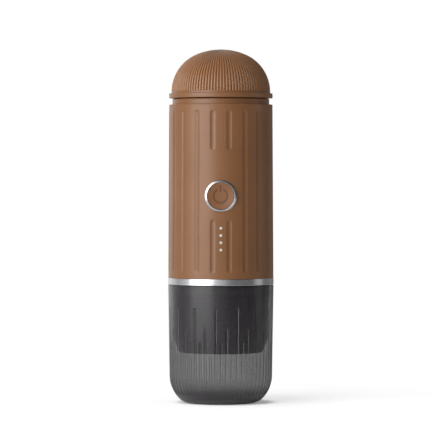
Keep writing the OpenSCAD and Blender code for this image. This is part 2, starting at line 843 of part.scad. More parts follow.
// Involute gear outline with its first tooth on the X axis
function involute(a) = tan(a) * 180 / PI - a;
function tooth_half(n, r) =
    let (
        pitch_r = gear_module * n / 2,
        base_r = pitch_r * cos(pressure_angle),
        play = backlash / 4 / pitch_r * 180 / PI
    )
    90 / n - play + involute(pressure_angle) - involute(acos(min(1, base_r / r)));
function gear_outline(n) =
    let (
        pitch_r = gear_module * n / 2,
        base_r = pitch_r * cos(pressure_angle),
        root_r = pitch_r - 1.25 * gear_module,
        tip_r = pitch_r + gear_module,
        low_r = max(base_r, root_r),
        flank = [for (k = [0:4]) low_r + (tip_r - low_r) * k / 4],
        rise = concat([root_r], flank)
    )
    [for (i = [0:n - 1], s = [-1, 1], k = [0:len(rise) - 1])
        let (
            r = s < 0 ? rise[k] : rise[len(rise) - 1 - k],
            a = i * 360 / n + s * tooth_half(n, max(r, low_r))
        )
        [r * cos(a), r * sin(a)]];

module motor_pinion() {
    color(steel) translate([0, motor_y, gear_z]) {
        linear_extrude(gear_t) polygon(gear_outline(pinion_teeth));
        translate([0, 0, -0.5]) cylinder(d = shaft_d, h = motor_z - gear_z + shaft_depth + 0.5);
    }
}

module crank_gear() {
    hub_r = crank_throw + crank_pin_d / 2 + 1;
    half_tooth = 180 / gear_teeth;
    color("ivory") translate([gear_x, motor_y, gear_z]) {
        difference() {
            union() {
                rotate(gear_teeth % 2 == 0 ? half_tooth : 0)
                    linear_extrude(gear_t) polygon(gear_outline(gear_teeth));
                translate([0, 0, -crank_disc_t]) cylinder(r = hub_r, h = crank_disc_t);
            }
            cylinder(d = gear_pin_d + 2 * run_fit, h = gear_t + over);
        }
        translate([0, crank_throw, -crank_disc_t - crank_pin_l]) cylinder(d = crank_pin_d, h = crank_pin_l);
    }
}

module gear_pin() {
    color(steel) translate([gear_x, motor_y, gear_z + run_fit])
        cylinder(d = gear_pin_d, h = motor_z - gear_z - run_fit);
}

// Slotted yoke and the plunger that it drives
module pump_plunger() {
    slot_w = crank_pin_d + slide_fit;
    slot_l = 2 * crank_throw + crank_pin_d + 1;
    yoke_l = slot_w + 5;
    yoke_w = slot_l + 3;
    tip_x = pump_x1 - plunger_reach;
    color(steel) translate([0, motor_y, plunger_z]) {
        difference() {
            translate([gear_x - yoke_l / 2, -yoke_w / 2, -yoke_t / 2]) cube([yoke_l, yoke_w, yoke_t]);
            translate([gear_x - slot_w / 2, -slot_l / 2, -yoke_t]) cube([slot_w, slot_l, 2 * yoke_t]);
        }
        translate([tip_x, 0, 0]) rotate([0, 90, 0]) cylinder(d = plunger_d, h = gear_x - yoke_l / 2 - tip_x);
    }
}

module pump_head() {
    end_gap = 0.5;
    color("dimgray") {
        difference() {
            intersection() {
                translate([pump_x0, motor_y - pump_w / 2, base_top]) cube([pump_l, pump_w, pump_h]);
                cylinder(r = inner_limit, h = shoulder_z);
            }
            translate([pump_x1 - plunger_reach - crank_throw - end_gap, motor_y, plunger_z])
                rotate([0, 90, 0]) cylinder(d = plunger_d + 2 * run_fit, h = pump_l);
        }
        translate([inlet_x, motor_y, bracket_z]) pipe(stub_d, stub_wall, stub_l);
        translate([outlet_x, motor_y, base_top - outlet_stub_l]) pipe(stub_d, stub_wall, outlet_stub_l);
    }
}

module inlet_hose() {
    end_gap = 1;
    z0 = bracket_z + end_gap;
    color(silicone) translate([inlet_x, motor_y, z0]) pipe(hose_d, hose_wall, support_z - end_gap - z0);
}

module outlet_hose() {
    end_gap = 0.2;
    z0 = ring_z + end_gap;
    color(silicone) translate([outlet_x, motor_y, z0]) pipe(hose_d, hose_wall, base_top - end_gap - z0);
}

module group_head() {
    seal_r = collar_r - cup_seal_depth;
    color(dark) difference() {
        union() {
            rotate_extrude($fn = fine) polygon([
                [0, chamber_top], [chamber_d / 2, chamber_top], [chamber_d / 2, boss_z],
                [boss_d / 2, boss_z], [boss_d / 2, collar_z], [collar_r, collar_z],
                [collar_r, cup_seal_z], [seal_r, cup_seal_z],
                [seal_r, cup_seal_z + cup_seal_h], [collar_r, cup_seal_z + cup_seal_h],
                [collar_r, ring_z], [0, ring_z]
            ]);
            cylinder_from(screen_z + screen_t, screw_post_r, chamber_top + over);
            translate([outlet_x, motor_y, ring_z]) cylinder(d = stub_d, h = outlet_stub_l);
        }
        translate([outlet_x, motor_y, chamber_top - over])
            cylinder(d = stub_d - 2 * stub_wall, h = ring_z + outlet_stub_l - chamber_top + 2 * over);
        translate([0, 0, screen_z]) cylinder(d = screw_d + 2 * push_fit, h = screen_screw_l + 2 * slide_fit);
        for (a = collar_screw_angles) rotate(a) translate([shell_boss_ring_r, 0, collar_z - over]) {
            cylinder(d = screw_d + 2 * push_fit, h = collar_h + 2 * over);
            cylinder(d = screw_head_d + 2 * slide_fit, h = screw_head_h + collar_screw_sink + over);
        }
    }
}

module group_gasket() {
    inner_gap = 0.5;
    outer_gap = 0.2;
    color(silicone) ring(chamber_d / 2 + inner_gap, boss_d / 2 - outer_gap, gasket_z, gasket_t);
}

module shower_screen() {
    hole_pitch = 4.2;
    hole_d = 1.4;
    edge = 3;
    color(steel) translate([0, 0, screen_z]) difference() {
        cylinder(r = chamber_d / 2 - slide_fit, h = screen_t);
        difference() {
            hole_grid(chamber_d / 2 - edge, hole_pitch, hole_d, screen_t);
            translate([0, 0, -2 * over]) cylinder(d = screw_head_d + 1, h = screen_t + 4 * over);
        }
        translate([0, 0, -over]) cylinder(d = screw_d + 2 * push_fit, h = screen_t + 2 * over);
    }
}

module screen_screw() {
    color(steel) translate([0, 0, screen_z]) screw(screen_screw_l);
}

module filter_basket() {
    r = basket_d / 2;
    hole_pitch = 3.6;
    hole_d = 1.2;
    edge = 3;
    color(steel) difference() {
        rotate_extrude($fn = fine) polygon([
            [0, basket_z], [r, basket_z], [r, basket_seat], [basket_rim_r, basket_seat],
            [basket_rim_r, basket_top], [r - basket_wall, basket_top],
            [r - basket_wall, basket_z + basket_wall], [0, basket_z + basket_wall]
        ]);
        translate([0, 0, basket_z]) hole_grid(r - edge, hole_pitch, hole_d, basket_wall);
    }
}

module brew_head() {
    r = brew_head_d / 2;
    low_r = r - brew_head_taper;
    edge = 1;
    rim_w = 4;
    color(dark) rotate_extrude($fn = fine) polygon([
        [spout_d / 2, brew_head_z], [spout_d / 2 + spout_wall, brew_head_z],
        [spout_d / 2 + spout_wall, brew_head_z + spout_recess],
        [low_r - rim_w - edge, brew_head_z + spout_recess],
        [low_r - rim_w, brew_head_z], [low_r - edge, brew_head_z], [low_r, brew_head_z + edge],
        [r, brew_head_z + brew_taper_h], [r, brew_head_top - edge / 2], [r - edge / 2, brew_head_top],
        [brew_head_bore, brew_head_top],
        [brew_head_bore, basket_seat], [brew_well_r, basket_seat], [brew_well_r, well_z + funnel_h],
        [spout_d / 2, well_z]
    ]);
}

// Half section of the cup's outside: wall and lower corner, trimmed at the foot by a straight-sided blend
module cup_outside() {
    foot_z = cup_corner_z - cup_corner_r * sin(cup_foot_angle);
    foot_x = corner_x + cup_corner_r * cos(cup_foot_angle);
    slope = tan(90 - cup_foot_angle - cup_foot_turn);
    intersection() {
        union() {
            polygon([[0, -over], [corner_x, -over], [corner_x, cup_corner_z], [cup_low_d / 2, cup_corner_z],
                [cup_d / 2, cup_h], [0, cup_h]]);
            intersection() {
                translate([corner_x, cup_corner_z]) circle(r = cup_corner_r, $fn = fine);
                translate([0, -cup_corner_r]) square([cup_d, cup_corner_z + cup_corner_r]);
            }
        }
        polygon([
            [-over, 0], [foot_x - foot_z / slope, 0], [foot_x + over, foot_z + over * slope],
            [cup_d, foot_z + over * slope], [cup_d, cup_h + over], [-over, cup_h + over]
        ]);
    }
}

// Half section of the cup's inside
module cup_inside() {
    r = cup_corner_r - cup_wall;
    floor_r = corner_x + sqrt(r * r - pow(cup_corner_z - cup_floor, 2));
    polygon([
        [0, cup_floor], [floor_r, cup_floor], [corner_x + r, cup_corner_z], [cup_d / 2 - cup_wall, cup_h],
        [cup_d / 2 - cup_wall, cup_h + over], [0, cup_h + over]
    ]);
    intersection() {
        translate([corner_x, cup_corner_z]) circle(r = r, $fn = fine);
        translate([0, cup_floor]) square([cup_d, cup_corner_z - cup_floor]);
    }
}

// Half section of a groove: down the tapered wall, then round the lower corner
module groove_section(top) {
    low_r = cup_low_d / 2;
    top_r = cup_inner_r(top) + cup_wall;
    reach = 2 * cup_corner_r;
    polygon([
        [low_r - groove_depth, cup_corner_z], [low_r + over, cup_corner_z], [top_r + over, top],
        [top_r - groove_depth, top]
    ]);
    translate([corner_x, cup_corner_z]) intersection() {
        difference() {
            circle(r = cup_corner_r + over, $fn = fine);
            circle(r = cup_corner_r - groove_depth, $fn = fine);
        }
        polygon([[0, 0], [reach, -reach * tan(groove_wrap)], [reach, 0]]);
    }
}

// The grooves have radial sides, and the turned cup's seam lies midway between two of them
module cup() {
    groove_step = 360 / groove_count;
    groove_turn = 2 * asin(groove_w / cup_d);
    color(smoke) rotate(-90 + groove_phase + groove_step / 2) difference() {
        rotate_extrude($fn = fine) cup_outside();
        rotate_extrude($fn = fine) cup_inside();
        for (i = [0:groove_count - 1]) rotate((i - 0.5) * groove_step - groove_turn / 2)
            rotate_extrude(angle = groove_turn, $fn = fine)
                groove_section(groove_top - groove_steps[i % len(groove_steps)]);
    }
}

module cup_seal() {
    r0 = collar_r - cup_seal_depth + push_fit;
    r1 = collar_r + slide_fit / 3;
    color(silicone) ring(r0, r1, cup_seal_z + push_fit, cup_seal_h - 2 * push_fit);
}

module cap_rim() {
    r = cap_rim_d / 2;
    edge = 0.4;
    seal_r = plug_r - cap_seal_depth;
    color(brown) rotate_extrude($fn = fine) polygon([
        [0, plug_z], [plug_r, plug_z], [plug_r, cap_seal_z], [seal_r, cap_seal_z],
        [seal_r, cap_seal_z + cap_seal_h], [plug_r, cap_seal_z + cap_seal_h], [plug_r, cap_z],
        [r - edge / 2, cap_z], [r, cap_z + edge / 2], [r, dome_z - edge], [r - edge, dome_z],
        [seal_r - plug_wall, dome_z], [seal_r - plug_wall, plug_z + plug_floor], [0, plug_z + plug_floor]
    ]);
}

module cap_seal() {
    r0 = plug_r - cap_seal_depth + run_fit;
    r1 = plug_r + slide_fit / 2;
    color(silicone) ring(r0, r1, cap_seal_z + run_fit, cap_seal_h - 2 * run_fit);
}

// Dome outline at the angle of its outward normal above the horizon
function dome_point(a, inset) = a < dome_joint
    ? [dome_d / 2 - dome_side_r + (dome_side_r - inset) * cos(a), (dome_side_r - inset) * sin(a)]
    : [(dome_crown_r - inset) * cos(a), dome_h - dome_crown_r + (dome_crown_r - inset) * sin(a)];
// One ring of the ribbed surface: peaks at even points, valleys at odd points
function rib_ring(a, inset, depth) =
    let (p = dome_point(a, inset), pitch = 2 * PI * p[0] / rib_count, valley = min(depth, 0.3 * pitch))
    [for (k = [0:2 * rib_count - 1])
        let (q = k % 2 == 0 ? p : dome_point(a, inset + valley), t = k * 180 / rib_count)
        [q[0] * cos(t), q[0] * sin(t), dome_z + q[1]]];
function flat_list(lists) = [for (l = lists, v = l) v];

// Ribbed dome shell as one closed surface: outer rings, top, inner rings, inner top and lower edge
module cap_dome() {
    outer = [0, 10, 22, 34, 46, 58, 70, 80, 87];
    inner = [0, 45, 75];
    n = 2 * rib_count;
    no = len(outer);
    ni = len(inner);
    points = concat(
        flat_list([for (a = outer) rib_ring(a, 0, rib_depth)]), [[0, 0, dome_z + dome_h]],
        flat_list([for (a = inner) rib_ring(a, dome_wall, 0)]), [[0, 0, dome_z + dome_h - dome_wall]]
    );
    top = no * n;
    start = top + 1;
    inner_top = start + ni * n;
    faces = concat(
        [for (j = [0:no - 2], k = [0:n - 1], h = [0, 1])
            let (k1 = (k + 1) % n, a = j * n + k, b = j * n + k1, c = a + n, d = b + n)
            h == 0 ? [a, c, b] : [b, c, d]],
        [for (k = [0:n - 1]) [(no - 1) * n + k, top, (no - 1) * n + (k + 1) % n]],
        [for (j = [0:ni - 2], k = [0:n - 1], h = [0, 1])
            let (k1 = (k + 1) % n, a = start + j * n + k, b = start + j * n + k1, c = a + n, d = b + n)
            h == 0 ? [a, b, c] : [b, d, c]],
        [for (k = [0:n - 1]) [start + (ni - 1) * n + k, start + (ni - 1) * n + (k + 1) % n, inner_top]],
        [for (k = [0:n - 1], h = [0, 1])
            let (k1 = (k + 1) % n) h == 0 ? [k, k1, start + k] : [k1, start + k1, start + k]]
    );
    color(brown) polyhedron(points = points, faces = faces);
}

module shell_screws() {
    color(steel) for (a = shell_boss_angles) rotate(a)
        translate([shell_boss_ring_r, 0, body_z - shell_screw_seat]) screw(base_t + shell_boss_h);
}

module collar_screws() {
    color(steel) for (a = collar_screw_angles) rotate(a)
        translate([shell_boss_ring_r, 0, collar_z + screw_head_h + collar_screw_sink]) screw(collar_h);
}

module support_screws() {
    seat_z = heater_z - screw_head_h - support_screw_sink;
    color(steel) for (p = support_screws_at)
        translate([p[0], p[1], seat_z]) rotate([180, 0, 0]) screw(support_screw_l);
}

module motor_screws() {
    color(steel) for (s = [-1, 1])
        translate([0, motor_y + s * motor_screw_r, bracket_z]) screw(motor_screw_l);
}

body_shell();
trim_ring();
chassis();
tank_support();
water_tank();
tank_seal();
insulation_sleeve();
heater_plate();
temperature_sensor();
battery_cells();
cell_links();
control_board();
switch_housing();
indicator_leds();
light_guide();
button_bezel();
power_button();
switch_plunger();
charge_board();
usb_socket();
usb_cover();
pump_bracket();
pump_motor();
motor_pinion();
crank_gear();
gear_pin();
pump_plunger();
pump_head();
inlet_hose();
outlet_hose();
group_head();
group_gasket();
shower_screen();
screen_screw();
filter_basket();
brew_head();
cup();
cup_seal();
cap_rim();
cap_seal();
cap_dome();
shell_screws();
collar_screws();
support_screws();
motor_screws();
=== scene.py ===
# %% [markdown]
# # A portable coffee maker, dressed for its picture
#
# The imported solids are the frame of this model: they hold the sizes, the joints and all that is inside.
# This lesson dresses them. The outer pieces with fine relief, such as the fluted shell or the ribbed cap,
# are made again as numpy surfaces over the solids that they stand for. Every other solid keeps its shape
# and only gets a finish.

# %% Load the frame
import json
import math

import bmesh
import bpy
import numpy as np
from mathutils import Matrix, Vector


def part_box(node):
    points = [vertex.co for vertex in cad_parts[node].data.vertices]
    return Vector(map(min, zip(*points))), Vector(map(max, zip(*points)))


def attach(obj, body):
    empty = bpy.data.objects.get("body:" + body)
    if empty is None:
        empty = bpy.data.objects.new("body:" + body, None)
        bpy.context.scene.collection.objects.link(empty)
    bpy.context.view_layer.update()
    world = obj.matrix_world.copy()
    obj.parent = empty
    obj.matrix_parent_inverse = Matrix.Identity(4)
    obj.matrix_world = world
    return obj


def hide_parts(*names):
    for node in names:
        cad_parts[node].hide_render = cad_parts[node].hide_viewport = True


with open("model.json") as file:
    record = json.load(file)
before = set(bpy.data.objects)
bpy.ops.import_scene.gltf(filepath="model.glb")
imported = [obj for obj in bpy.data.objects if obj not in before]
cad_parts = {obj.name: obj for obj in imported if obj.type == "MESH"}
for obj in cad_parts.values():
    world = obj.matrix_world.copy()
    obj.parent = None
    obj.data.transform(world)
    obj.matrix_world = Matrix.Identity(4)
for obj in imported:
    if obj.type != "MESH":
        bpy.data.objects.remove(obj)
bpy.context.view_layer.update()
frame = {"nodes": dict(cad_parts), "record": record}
MM = 0.001

# %% [markdown]
# ## Camera
#
# Level edges tell where the camera stood. The bright ring bows down in the photograph and the cap's rim
# bows up, so the lens was between them in height, and how much each bows gives a distance of about two
# metres. One pixel is 0.664 mm on the axis of the object, and that fixes the focal length.

# %% Place the camera
IMAGE_HEIGHT_PX = 444
PIXEL = 0.6641 * MM
CAMERA_DISTANCE = 2.0
CAMERA_HEIGHT = 0.1524
CAMERA_SIDE = -0.23 * MM
AIM_HEIGHT = 0.1199
SENSOR = 36

camera_data = bpy.data.cameras.new("camera")
camera_data.sensor_width = SENSOR
camera_data.lens = SENSOR * CAMERA_DISTANCE / (IMAGE_HEIGHT_PX * PIXEL)
camera = bpy.data.objects.new("camera", camera_data)
camera.location = (CAMERA_SIDE, -CAMERA_DISTANCE, CAMERA_HEIGHT)
tilt = math.atan2(CAMERA_HEIGHT - AIM_HEIGHT, CAMERA_DISTANCE)
camera.rotation_euler = (math.pi / 2 - tilt, 0, 0)
bpy.context.scene.collection.objects.link(camera)
bpy.context.scene.camera = camera
bpy.context.scene.view_settings.view_transform = "Standard"
print("lens", round(camera_data.lens), "mm, tilt", round(math.degrees(tilt), 2), "degrees")

# %% [markdown]
# ## Shader maths
#
# A finish is a small sum: some noise, a little of a height, a mix of two tones. Wiring that by hand takes
# many lines, so a socket is wrapped in a class whose operators add the Math nodes. Everything else comes
# from one method that makes a node of any type, sets it, and feeds its sockets.


# %% A socket that can be calculated with
class Shade:
    """A socket of a node tree; arithmetic on it adds Math nodes to that tree."""

    def __init__(self, finish, socket):
        self.finish = finish
        self.socket = socket

    def maths(self, operation, first, second):
        return self.finish.node("Math", {0: first, 1: second}, operation=operation)

    def __add__(self, other):
        return self.maths("ADD", self, other)

    def __radd__(self, other):
        return self.maths("ADD", other, self)

    def __sub__(self, other):
        return self.maths("SUBTRACT", self, other)

    def __rsub__(self, other):
        return self.maths("SUBTRACT", other, self)

    def __mul__(self, other):
        return self.maths("MULTIPLY", self, other)

    def __rmul__(self, other):
        return self.maths("MULTIPLY", other, self)


class Finish:
    """The node tree of one material, of a lamp or of the world, while it is being written."""

    def __init__(self, owner):
        owner.use_nodes = True
        self.owner = owner
        self.tree = owner.node_tree
        self.tree.nodes.clear()

    def node(self, kind, inputs=None, output=0, **settings):
        """A node of any type: its settings first, then the values or links of its sockets."""
        made = self.tree.nodes.new("ShaderNode" + kind)
        for name, value in settings.items():
            setattr(made, name, value)
        for key, value in (inputs or {}).items():
            if isinstance(value, Shade):
                self.tree.links.new(value.socket, made.inputs[key])
            else:
                made.inputs[key].default_value = value
        return Shade(self, made.outputs[output]) if made.outputs else made

    def place(self):
        """Object coordinates, in metres from the centre of the cup's base."""
        return self.node("TexCoord", output="Object")

    def ray(self, kind):
        """1 for rays of that kind and 0 for all others."""
        return self.node("LightPath", output=f"Is {kind} Ray")

    def named(self, attribute):
        """A value that a mesh holds on its points, or 0 on a mesh without it."""
        return self.node("Attribute", output="Fac", attribute_name=attribute)

    def axis(self, place, name):
        """One coordinate of a place."""
        return self.node("SeparateXYZ", {0: place}, output=name)

    def noise(self, place, size, detail=2.0):
        """Noise from 0 to 1 whose lumps are about size metres across."""
        return self.node("TexNoise", {"Vector": place, "Scale": 1 / size, "Detail": detail})

    def stretched(self, place, scale):
        """A place with each coordinate scaled, so that a noise on it is drawn out."""
        return self.node("Mapping", {"Vector": place, "Scale": scale})

    def mix(self, share, first, second):
        """The first colour, going over to the second as share goes from 0 to 1."""
        return self.node("Mix", {0: share, 6: first, 7: second}, output=2, data_type="RGBA")

    def rise(self, value, low, high):
        """0 below low, 1 above high, and a smooth step between them."""
        limits = {"Value": value, "From Min": low, "From Max": high}
        return self.node("MapRange", limits, interpolation_type="SMOOTHSTEP")

    def bump(self, height, strength, depth):
        """A normal tilted by a height of at most depth metres."""
        return self.node("Bump", {"Strength": strength, "Distance": depth, "Height": height})

    def surface(self, **sockets):
        """The finished surface: a Principled shader whose sockets are named with _ for a space."""
        named = {name.replace("_", " "): value for name, value in sockets.items()}
        self.output(self.node("BsdfPrincipled", named))
        return self.owner

    def output(self, shader):
        """Links a shader to the output of the world, material or lamp."""
        kinds = {"World": bpy.types.World, "Material": bpy.types.Material, "Light": bpy.types.Light}
        kind = next(kind for kind in kinds if isinstance(self.owner, kinds[kind]))
        self.node("Output" + kind, {"Surface": shader})


def srgb(red, green, blue):
    """Linear colour of an 8-bit sRGB one: below 0.04 a straight line, above it a power of 2.4."""
    share = np.array([red, green, blue]) / 255
    low, high = share / 12.92, ((share + 0.055) / 1.055) ** 2.4
    return (*np.where(share <= 0.04045, low, high), 1.0)


WHITE, BLACK = (1, 1, 1, 1), (0, 0, 0, 1)
print("the shader helpers are ready")

# %% [markdown]
# ## Floor, backdrop and light
#
# The maker stands on a white sweep and is lit by one large softbox at its left front, so its right side
# falls into shade and its shadow lies to the right. A weak strip at the right lifts that shade a little.
# Both fade towards their edges, and a halo in the room makes the softbox's reflection softer still. Rays
# that reach the camera see white behind the maker, and metal mirrors a room that is bright there and darker
# in front, which gives it dark streaks. The floor is lit by the lamps near the maker, which keeps the
# shadow, and goes over to plain white further out. Close round the foot a painted shadow darkens it, most of
# all behind it on the right, and in reflections the floor's glow fades out near the foot, a painted shade.

# %% World
ROOM_SHADE = 0.06
BACKDROP = 0.87
BACKDROP_REACH = (-0.15, 0.9)
DARK_SIDE = 0.85
DARK_REACH = (-0.25, 0.25)
HALO = 0.7
HALO_TOWARDS = (-0.685, -0.721, 0.105)
HALO_REACH = (0.36, 0.97)
ROOM_LIGHT = 0.4
FILL = 0.135

world = bpy.data.worlds.new("studio")
bpy.context.scene.world = world
studio = Finish(world)
direction = studio.node("TexCoord", output="Generated")
behind = studio.rise(studio.axis(direction, "Y"), *BACKDROP_REACH)
dark_side = studio.rise(studio.axis(direction, "X"), *DARK_REACH)
aim = {0: direction, 1: HALO_TOWARDS}
halo = studio.rise(studio.node("VectorMath", aim, output="Value", operation="DOT_PRODUCT"), *HALO_REACH)
room = ROOM_SHADE + BACKDROP * behind * (1 - DARK_SIDE * dark_side) + HALO * halo
seen = studio.ray("Camera")
shown = studio.node("Math", {0: studio.ray("Glossy"), 1: studio.ray("Transmission")}, operation="MAXIMUM")
strength = (1 - shown) * (FILL + ROOM_LIGHT * room) + shown * room
strength = seen + (1 - seen) * strength
studio.output(studio.node("Background", {"Color": WHITE, "Strength": strength}))
print("the room's light takes", len(studio.tree.nodes), "nodes")

# %% Floor
FLOOR_SIZE = 1.6
SHADOW_REACH = (0.06, 0.22)
FOOT_REACH = (0.035, 0.16)
# Painted shadow round the foot, shifted behind it to the right:
FOOT_SHADE = (0.027, 0.037)
SHADE_SHIFT = (-0.0028, -0.0035, 0)
SIDE_SHADE = (0.038, 0.1)
PAINTED_SHADOW_GLOW_SHARES = (0.36, 0.54, 0.1)
PAPER = (0.86, 0.86, 0.86, 1)
PAPER_GLOW = 0.66
MIRRORED_GLOW = 0.1

sweep = Finish(bpy.data.materials.new("sweep"))
flat_distance = sweep.node("VectorMath", {0: sweep.place()}, output="Value", operation="LENGTH")
beyond_shadow = sweep.rise(flat_distance, *SHADOW_REACH)
beyond_foot = sweep.rise(flat_distance, *FOOT_REACH)
shifted = sweep.node("VectorMath", {0: sweep.place(), 1: SHADE_SHIFT}, operation="ADD")
shade_distance = sweep.node("VectorMath", {0: shifted}, output="Value", operation="LENGTH")
past_foot = sweep.rise(shade_distance, *FOOT_SHADE)
past_side = sweep.rise(flat_distance, *SIDE_SHADE)
# Painted shadow: the floor's glow is lowered close round the foot.
glow_outside_painted_shadow = PAINTED_SHADOW_GLOW_SHARES[0] + PAINTED_SHADOW_GLOW_SHARES[1] * past_foot + PAINTED_SHADOW_GLOW_SHARES[2] * past_side
seen = sweep.ray("Camera")
any_view = seen + sweep.ray("Glossy") + sweep.ray("Transmission")
shown = sweep.node("Math", {0: any_view, 1: 1}, operation="MINIMUM")
paper = sweep.node("BsdfDiffuse", {"Color": PAPER})
# In reflections the glow fades out close to the foot, a painted shade.
added = PAPER_GLOW * seen * glow_outside_painted_shadow + MIRRORED_GLOW * (1 - seen) * shown * beyond_foot
glow = sweep.node("Emission", {"Color": WHITE, "Strength": added})
white = sweep.node("Emission", {"Color": WHITE, "Strength": 1})
lit_paper = sweep.node("AddShader", {0: paper, 1: glow})
sweep.output(sweep.node("MixShader", {0: seen * beyond_shadow, 1: lit_paper, 2: white}))

half = FLOOR_SIZE / 2
corners = [(-half, -half, 0), (half, -half, 0), (half, half, 0), (-half, half, 0)]
floor_mesh = bpy.data.meshes.new("floor")
floor_mesh.from_pydata(corners, [], [(0, 1, 2, 3)])
floor_mesh.materials.append(sweep.owner)
floor = bpy.data.objects.new("floor", floor_mesh)
bpy.context.scene.collection.objects.link(floor)
print("the floor is", FLOOR_SIZE, "m square")

# %% Softboxes
SOFT_EDGE = 0.95


def softbox(name, azimuth, elevation, distance, width, height, radiance):
    """A rectangular lamp turned to the middle of the maker, azimuth degrees from its front to the right.

    A lamp of P watts and an area of A square metres shines with a radiance of P / (4 A). Towards its edges
    it fades: with u from 0 to 1 across, 4 u (1 - u) is 0 at both edges, and above SOFT_EDGE it is full."""
    lamp = bpy.data.lights.new(name, "AREA")
    lamp.shape = "RECTANGLE"
    lamp.size, lamp.size_y = width, height
    lamp.energy = radiance * 4 * width * height
    cloth = Finish(lamp)
    across = cloth.node("NewGeometry", output="Parametric")
    u, v = cloth.axis(across, "X"), cloth.axis(across, "Y")
    full = cloth.rise(4 * u * (1 - u), 0, SOFT_EDGE) * cloth.rise(4 * v * (1 - v), 0, SOFT_EDGE)
    cloth.output(cloth.node("Emission", {"Color": cloth.mix(full, BLACK, WHITE), "Strength": 1}))
    a, e = math.radians(azimuth), math.radians(elevation)
    box = bpy.data.objects.new(name, lamp)
    box.location = (
        distance * math.sin(a) * math.cos(e),
        -distance * math.cos(a) * math.cos(e),
        AIM_HEIGHT + distance * math.sin(e),
    )
    box.rotation_euler = (math.pi / 2 - e, 0, a)
    box.visible_camera = False
    bpy.context.scene.collection.objects.link(box)
    print(name, "gives", round(lamp.energy, 1), "W")


softbox("key_softbox", azimuth=-43.5, elevation=18, distance=1.2, width=1.55, height=1.4, radiance=2.55)
softbox("side_strip", azimuth=90, elevation=12, distance=1.6, width=0.9, height=1.4, radiance=0.42)

# %% [markdown]
# ## Grids into meshes
#
# Most pieces of this maker are turned: an outline in radius and height is carried round an axis. A turned
# piece is a grid with a row for each point of the outline and a column for each angle. Where the piece
# reaches the axis, a fan of triangles to a single pole closes it.

# %% Grid helpers
WELD = 0.0005 * MM
SHARP_ANGLE = math.radians(40)


def grid_quads(rows, columns, rows_closed=False):
    """Quads of a grid as rows x columns x 4: each corner with its right, upper right and upper neighbour."""
    i = np.arange(rows if rows_closed else rows - 1)[:, None]
    j = np.arange(columns)[None, :]
    up, right = (i + 1) % rows, (j + 1) % columns
    corners = (i * columns + j, i * columns + right, up * columns + right, up * columns + j)
    return np.stack(np.broadcast_arrays(*corners), axis=-1)


def fan(pole, ring, upward):
    """Triangles between a pole and a ring of points, seen anticlockwise from outside."""
    after = np.roll(ring, -1)
    first, second = (ring, after) if upward else (after, ring)
    return np.stack([first, second, np.full(len(ring), pole)], axis=-1)


def new_piece(name, points, faces, body, finish, slot, node, **values):
    """A smooth mesh at the origin, from points, arrays of quads and triangles, and named values on points.

    It rides on a body, stands for a CAD node, and takes the finish it is given. The slot is not used."""
    mesh = bpy.data.meshes.new(name)
    lists = [corner for part in faces for corner in part.reshape(-1, part.shape[-1]).tolist()]
    mesh.from_pydata(points.reshape(-1, 3).tolist(), [], lists, shade_flat=False)
    for label, value in values.items():
        layer = mesh.attributes.new(label, "FLOAT", "POINT")
        layer.data.foreach_set("value", value.astype(np.float32).ravel())
    work = bmesh.new()
    work.from_mesh(mesh)
    bmesh.ops.remove_doubles(work, verts=work.verts, dist=WELD)
    work.to_mesh(mesh)
    open_edges = sum(not e.is_manifold for e in work.edges)
    triangles = sum(len(f.verts) - 2 for f in work.faces)
    volume = work.calc_volume(signed=True) / MM**3
    work.free()
    mesh.set_sharp_from_angle(angle=SHARP_ANGLE)
    mesh.materials.append(finish)
    piece = bpy.data.objects.new(name, mesh)
    bpy.context.scene.collection.objects.link(piece)
    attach(piece, body)
    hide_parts(node)
    print(f"{name}: {triangles} triangles, {open_edges} open edges, {volume / 1000:.2f} cm3")


print("3 rows of 4 points, closed round, have", grid_quads(3, 4)[..., 0].size, "quads")


# %% Outlines and turning
def rounded(corners, radii, steps=5, margin=0.08 * MM):
    """Points along an outline whose corners are arcs of the given radii, in metres.

    An arc touches both sides of its corner: it starts radius / tan(half the corner's angle) away from it. A
    margin outside each arc, one more point keeps the shading of the straight sides flat."""
    corners = np.asarray(corners, float)
    points = []
    for k, radius in enumerate(radii):
        here = corners[k]
        if radius == 0:
            points.append(here[None])
            continue
        to_last = corners[k - 1] - here
        to_next = corners[(k + 1) % len(corners)] - here
        to_last, to_next = to_last / np.linalg.norm(to_last), to_next / np.linalg.norm(to_next)
        half_angle = np.arccos(np.clip(to_last @ to_next, -1, 1)) / 2
        reach = radius / np.tan(half_angle)
        middle = to_last + to_next
        centre = here + middle / np.linalg.norm(middle) * radius / np.sin(half_angle)
        start, end = here + to_last * reach - centre, here + to_next * reach - centre
        turn = np.arctan2(start[0] * end[1] - start[1] * end[0], start @ end)
        angle = np.linspace(0, turn, steps + 1)[:, None]
        arc = start * np.cos(angle) + np.array([-start[1], start[0]]) * np.sin(angle) + centre
        before, after = arc[:1] + to_last * margin, arc[-1:] + to_next * margin
        points += [before, arc, after]
    return np.concatenate(points)


def carried_round(outline, angles):
    """Rows of points: the outline's radius and height at every angle, x = r cos a, y = r sin a, z = h."""
    radius, height = outline[:, :1], outline[:, 1:]
    x, y = radius * np.cos(angles), radius * np.sin(angles)
    return np.stack(np.broadcast_arrays(x, y, height), axis=-1)


def with_poles(rows, low_pole, high_pole):
    """Points and faces of a grid whose lower and upper rows are closed by a pole each."""
    count, columns = rows.shape[:2]
    points = np.concatenate([rows.reshape(-1, 3), [low_pole, high_pole]])
    ring = np.arange(columns)
    lower = fan(count * columns, ring, upward=False)
    upper = fan(count * columns + 1, ring + (count - 1) * columns, upward=True)
    return points, [grid_quads(count, columns), lower, upper]


def as_ring(rows):
    """Faces of a grid whose last row joins its first."""
    return [grid_quads(*rows.shape[:2], rows_closed=True)]


def even_angles(columns):
    return np.linspace(0, 2 * np.pi, columns, endpoint=False)


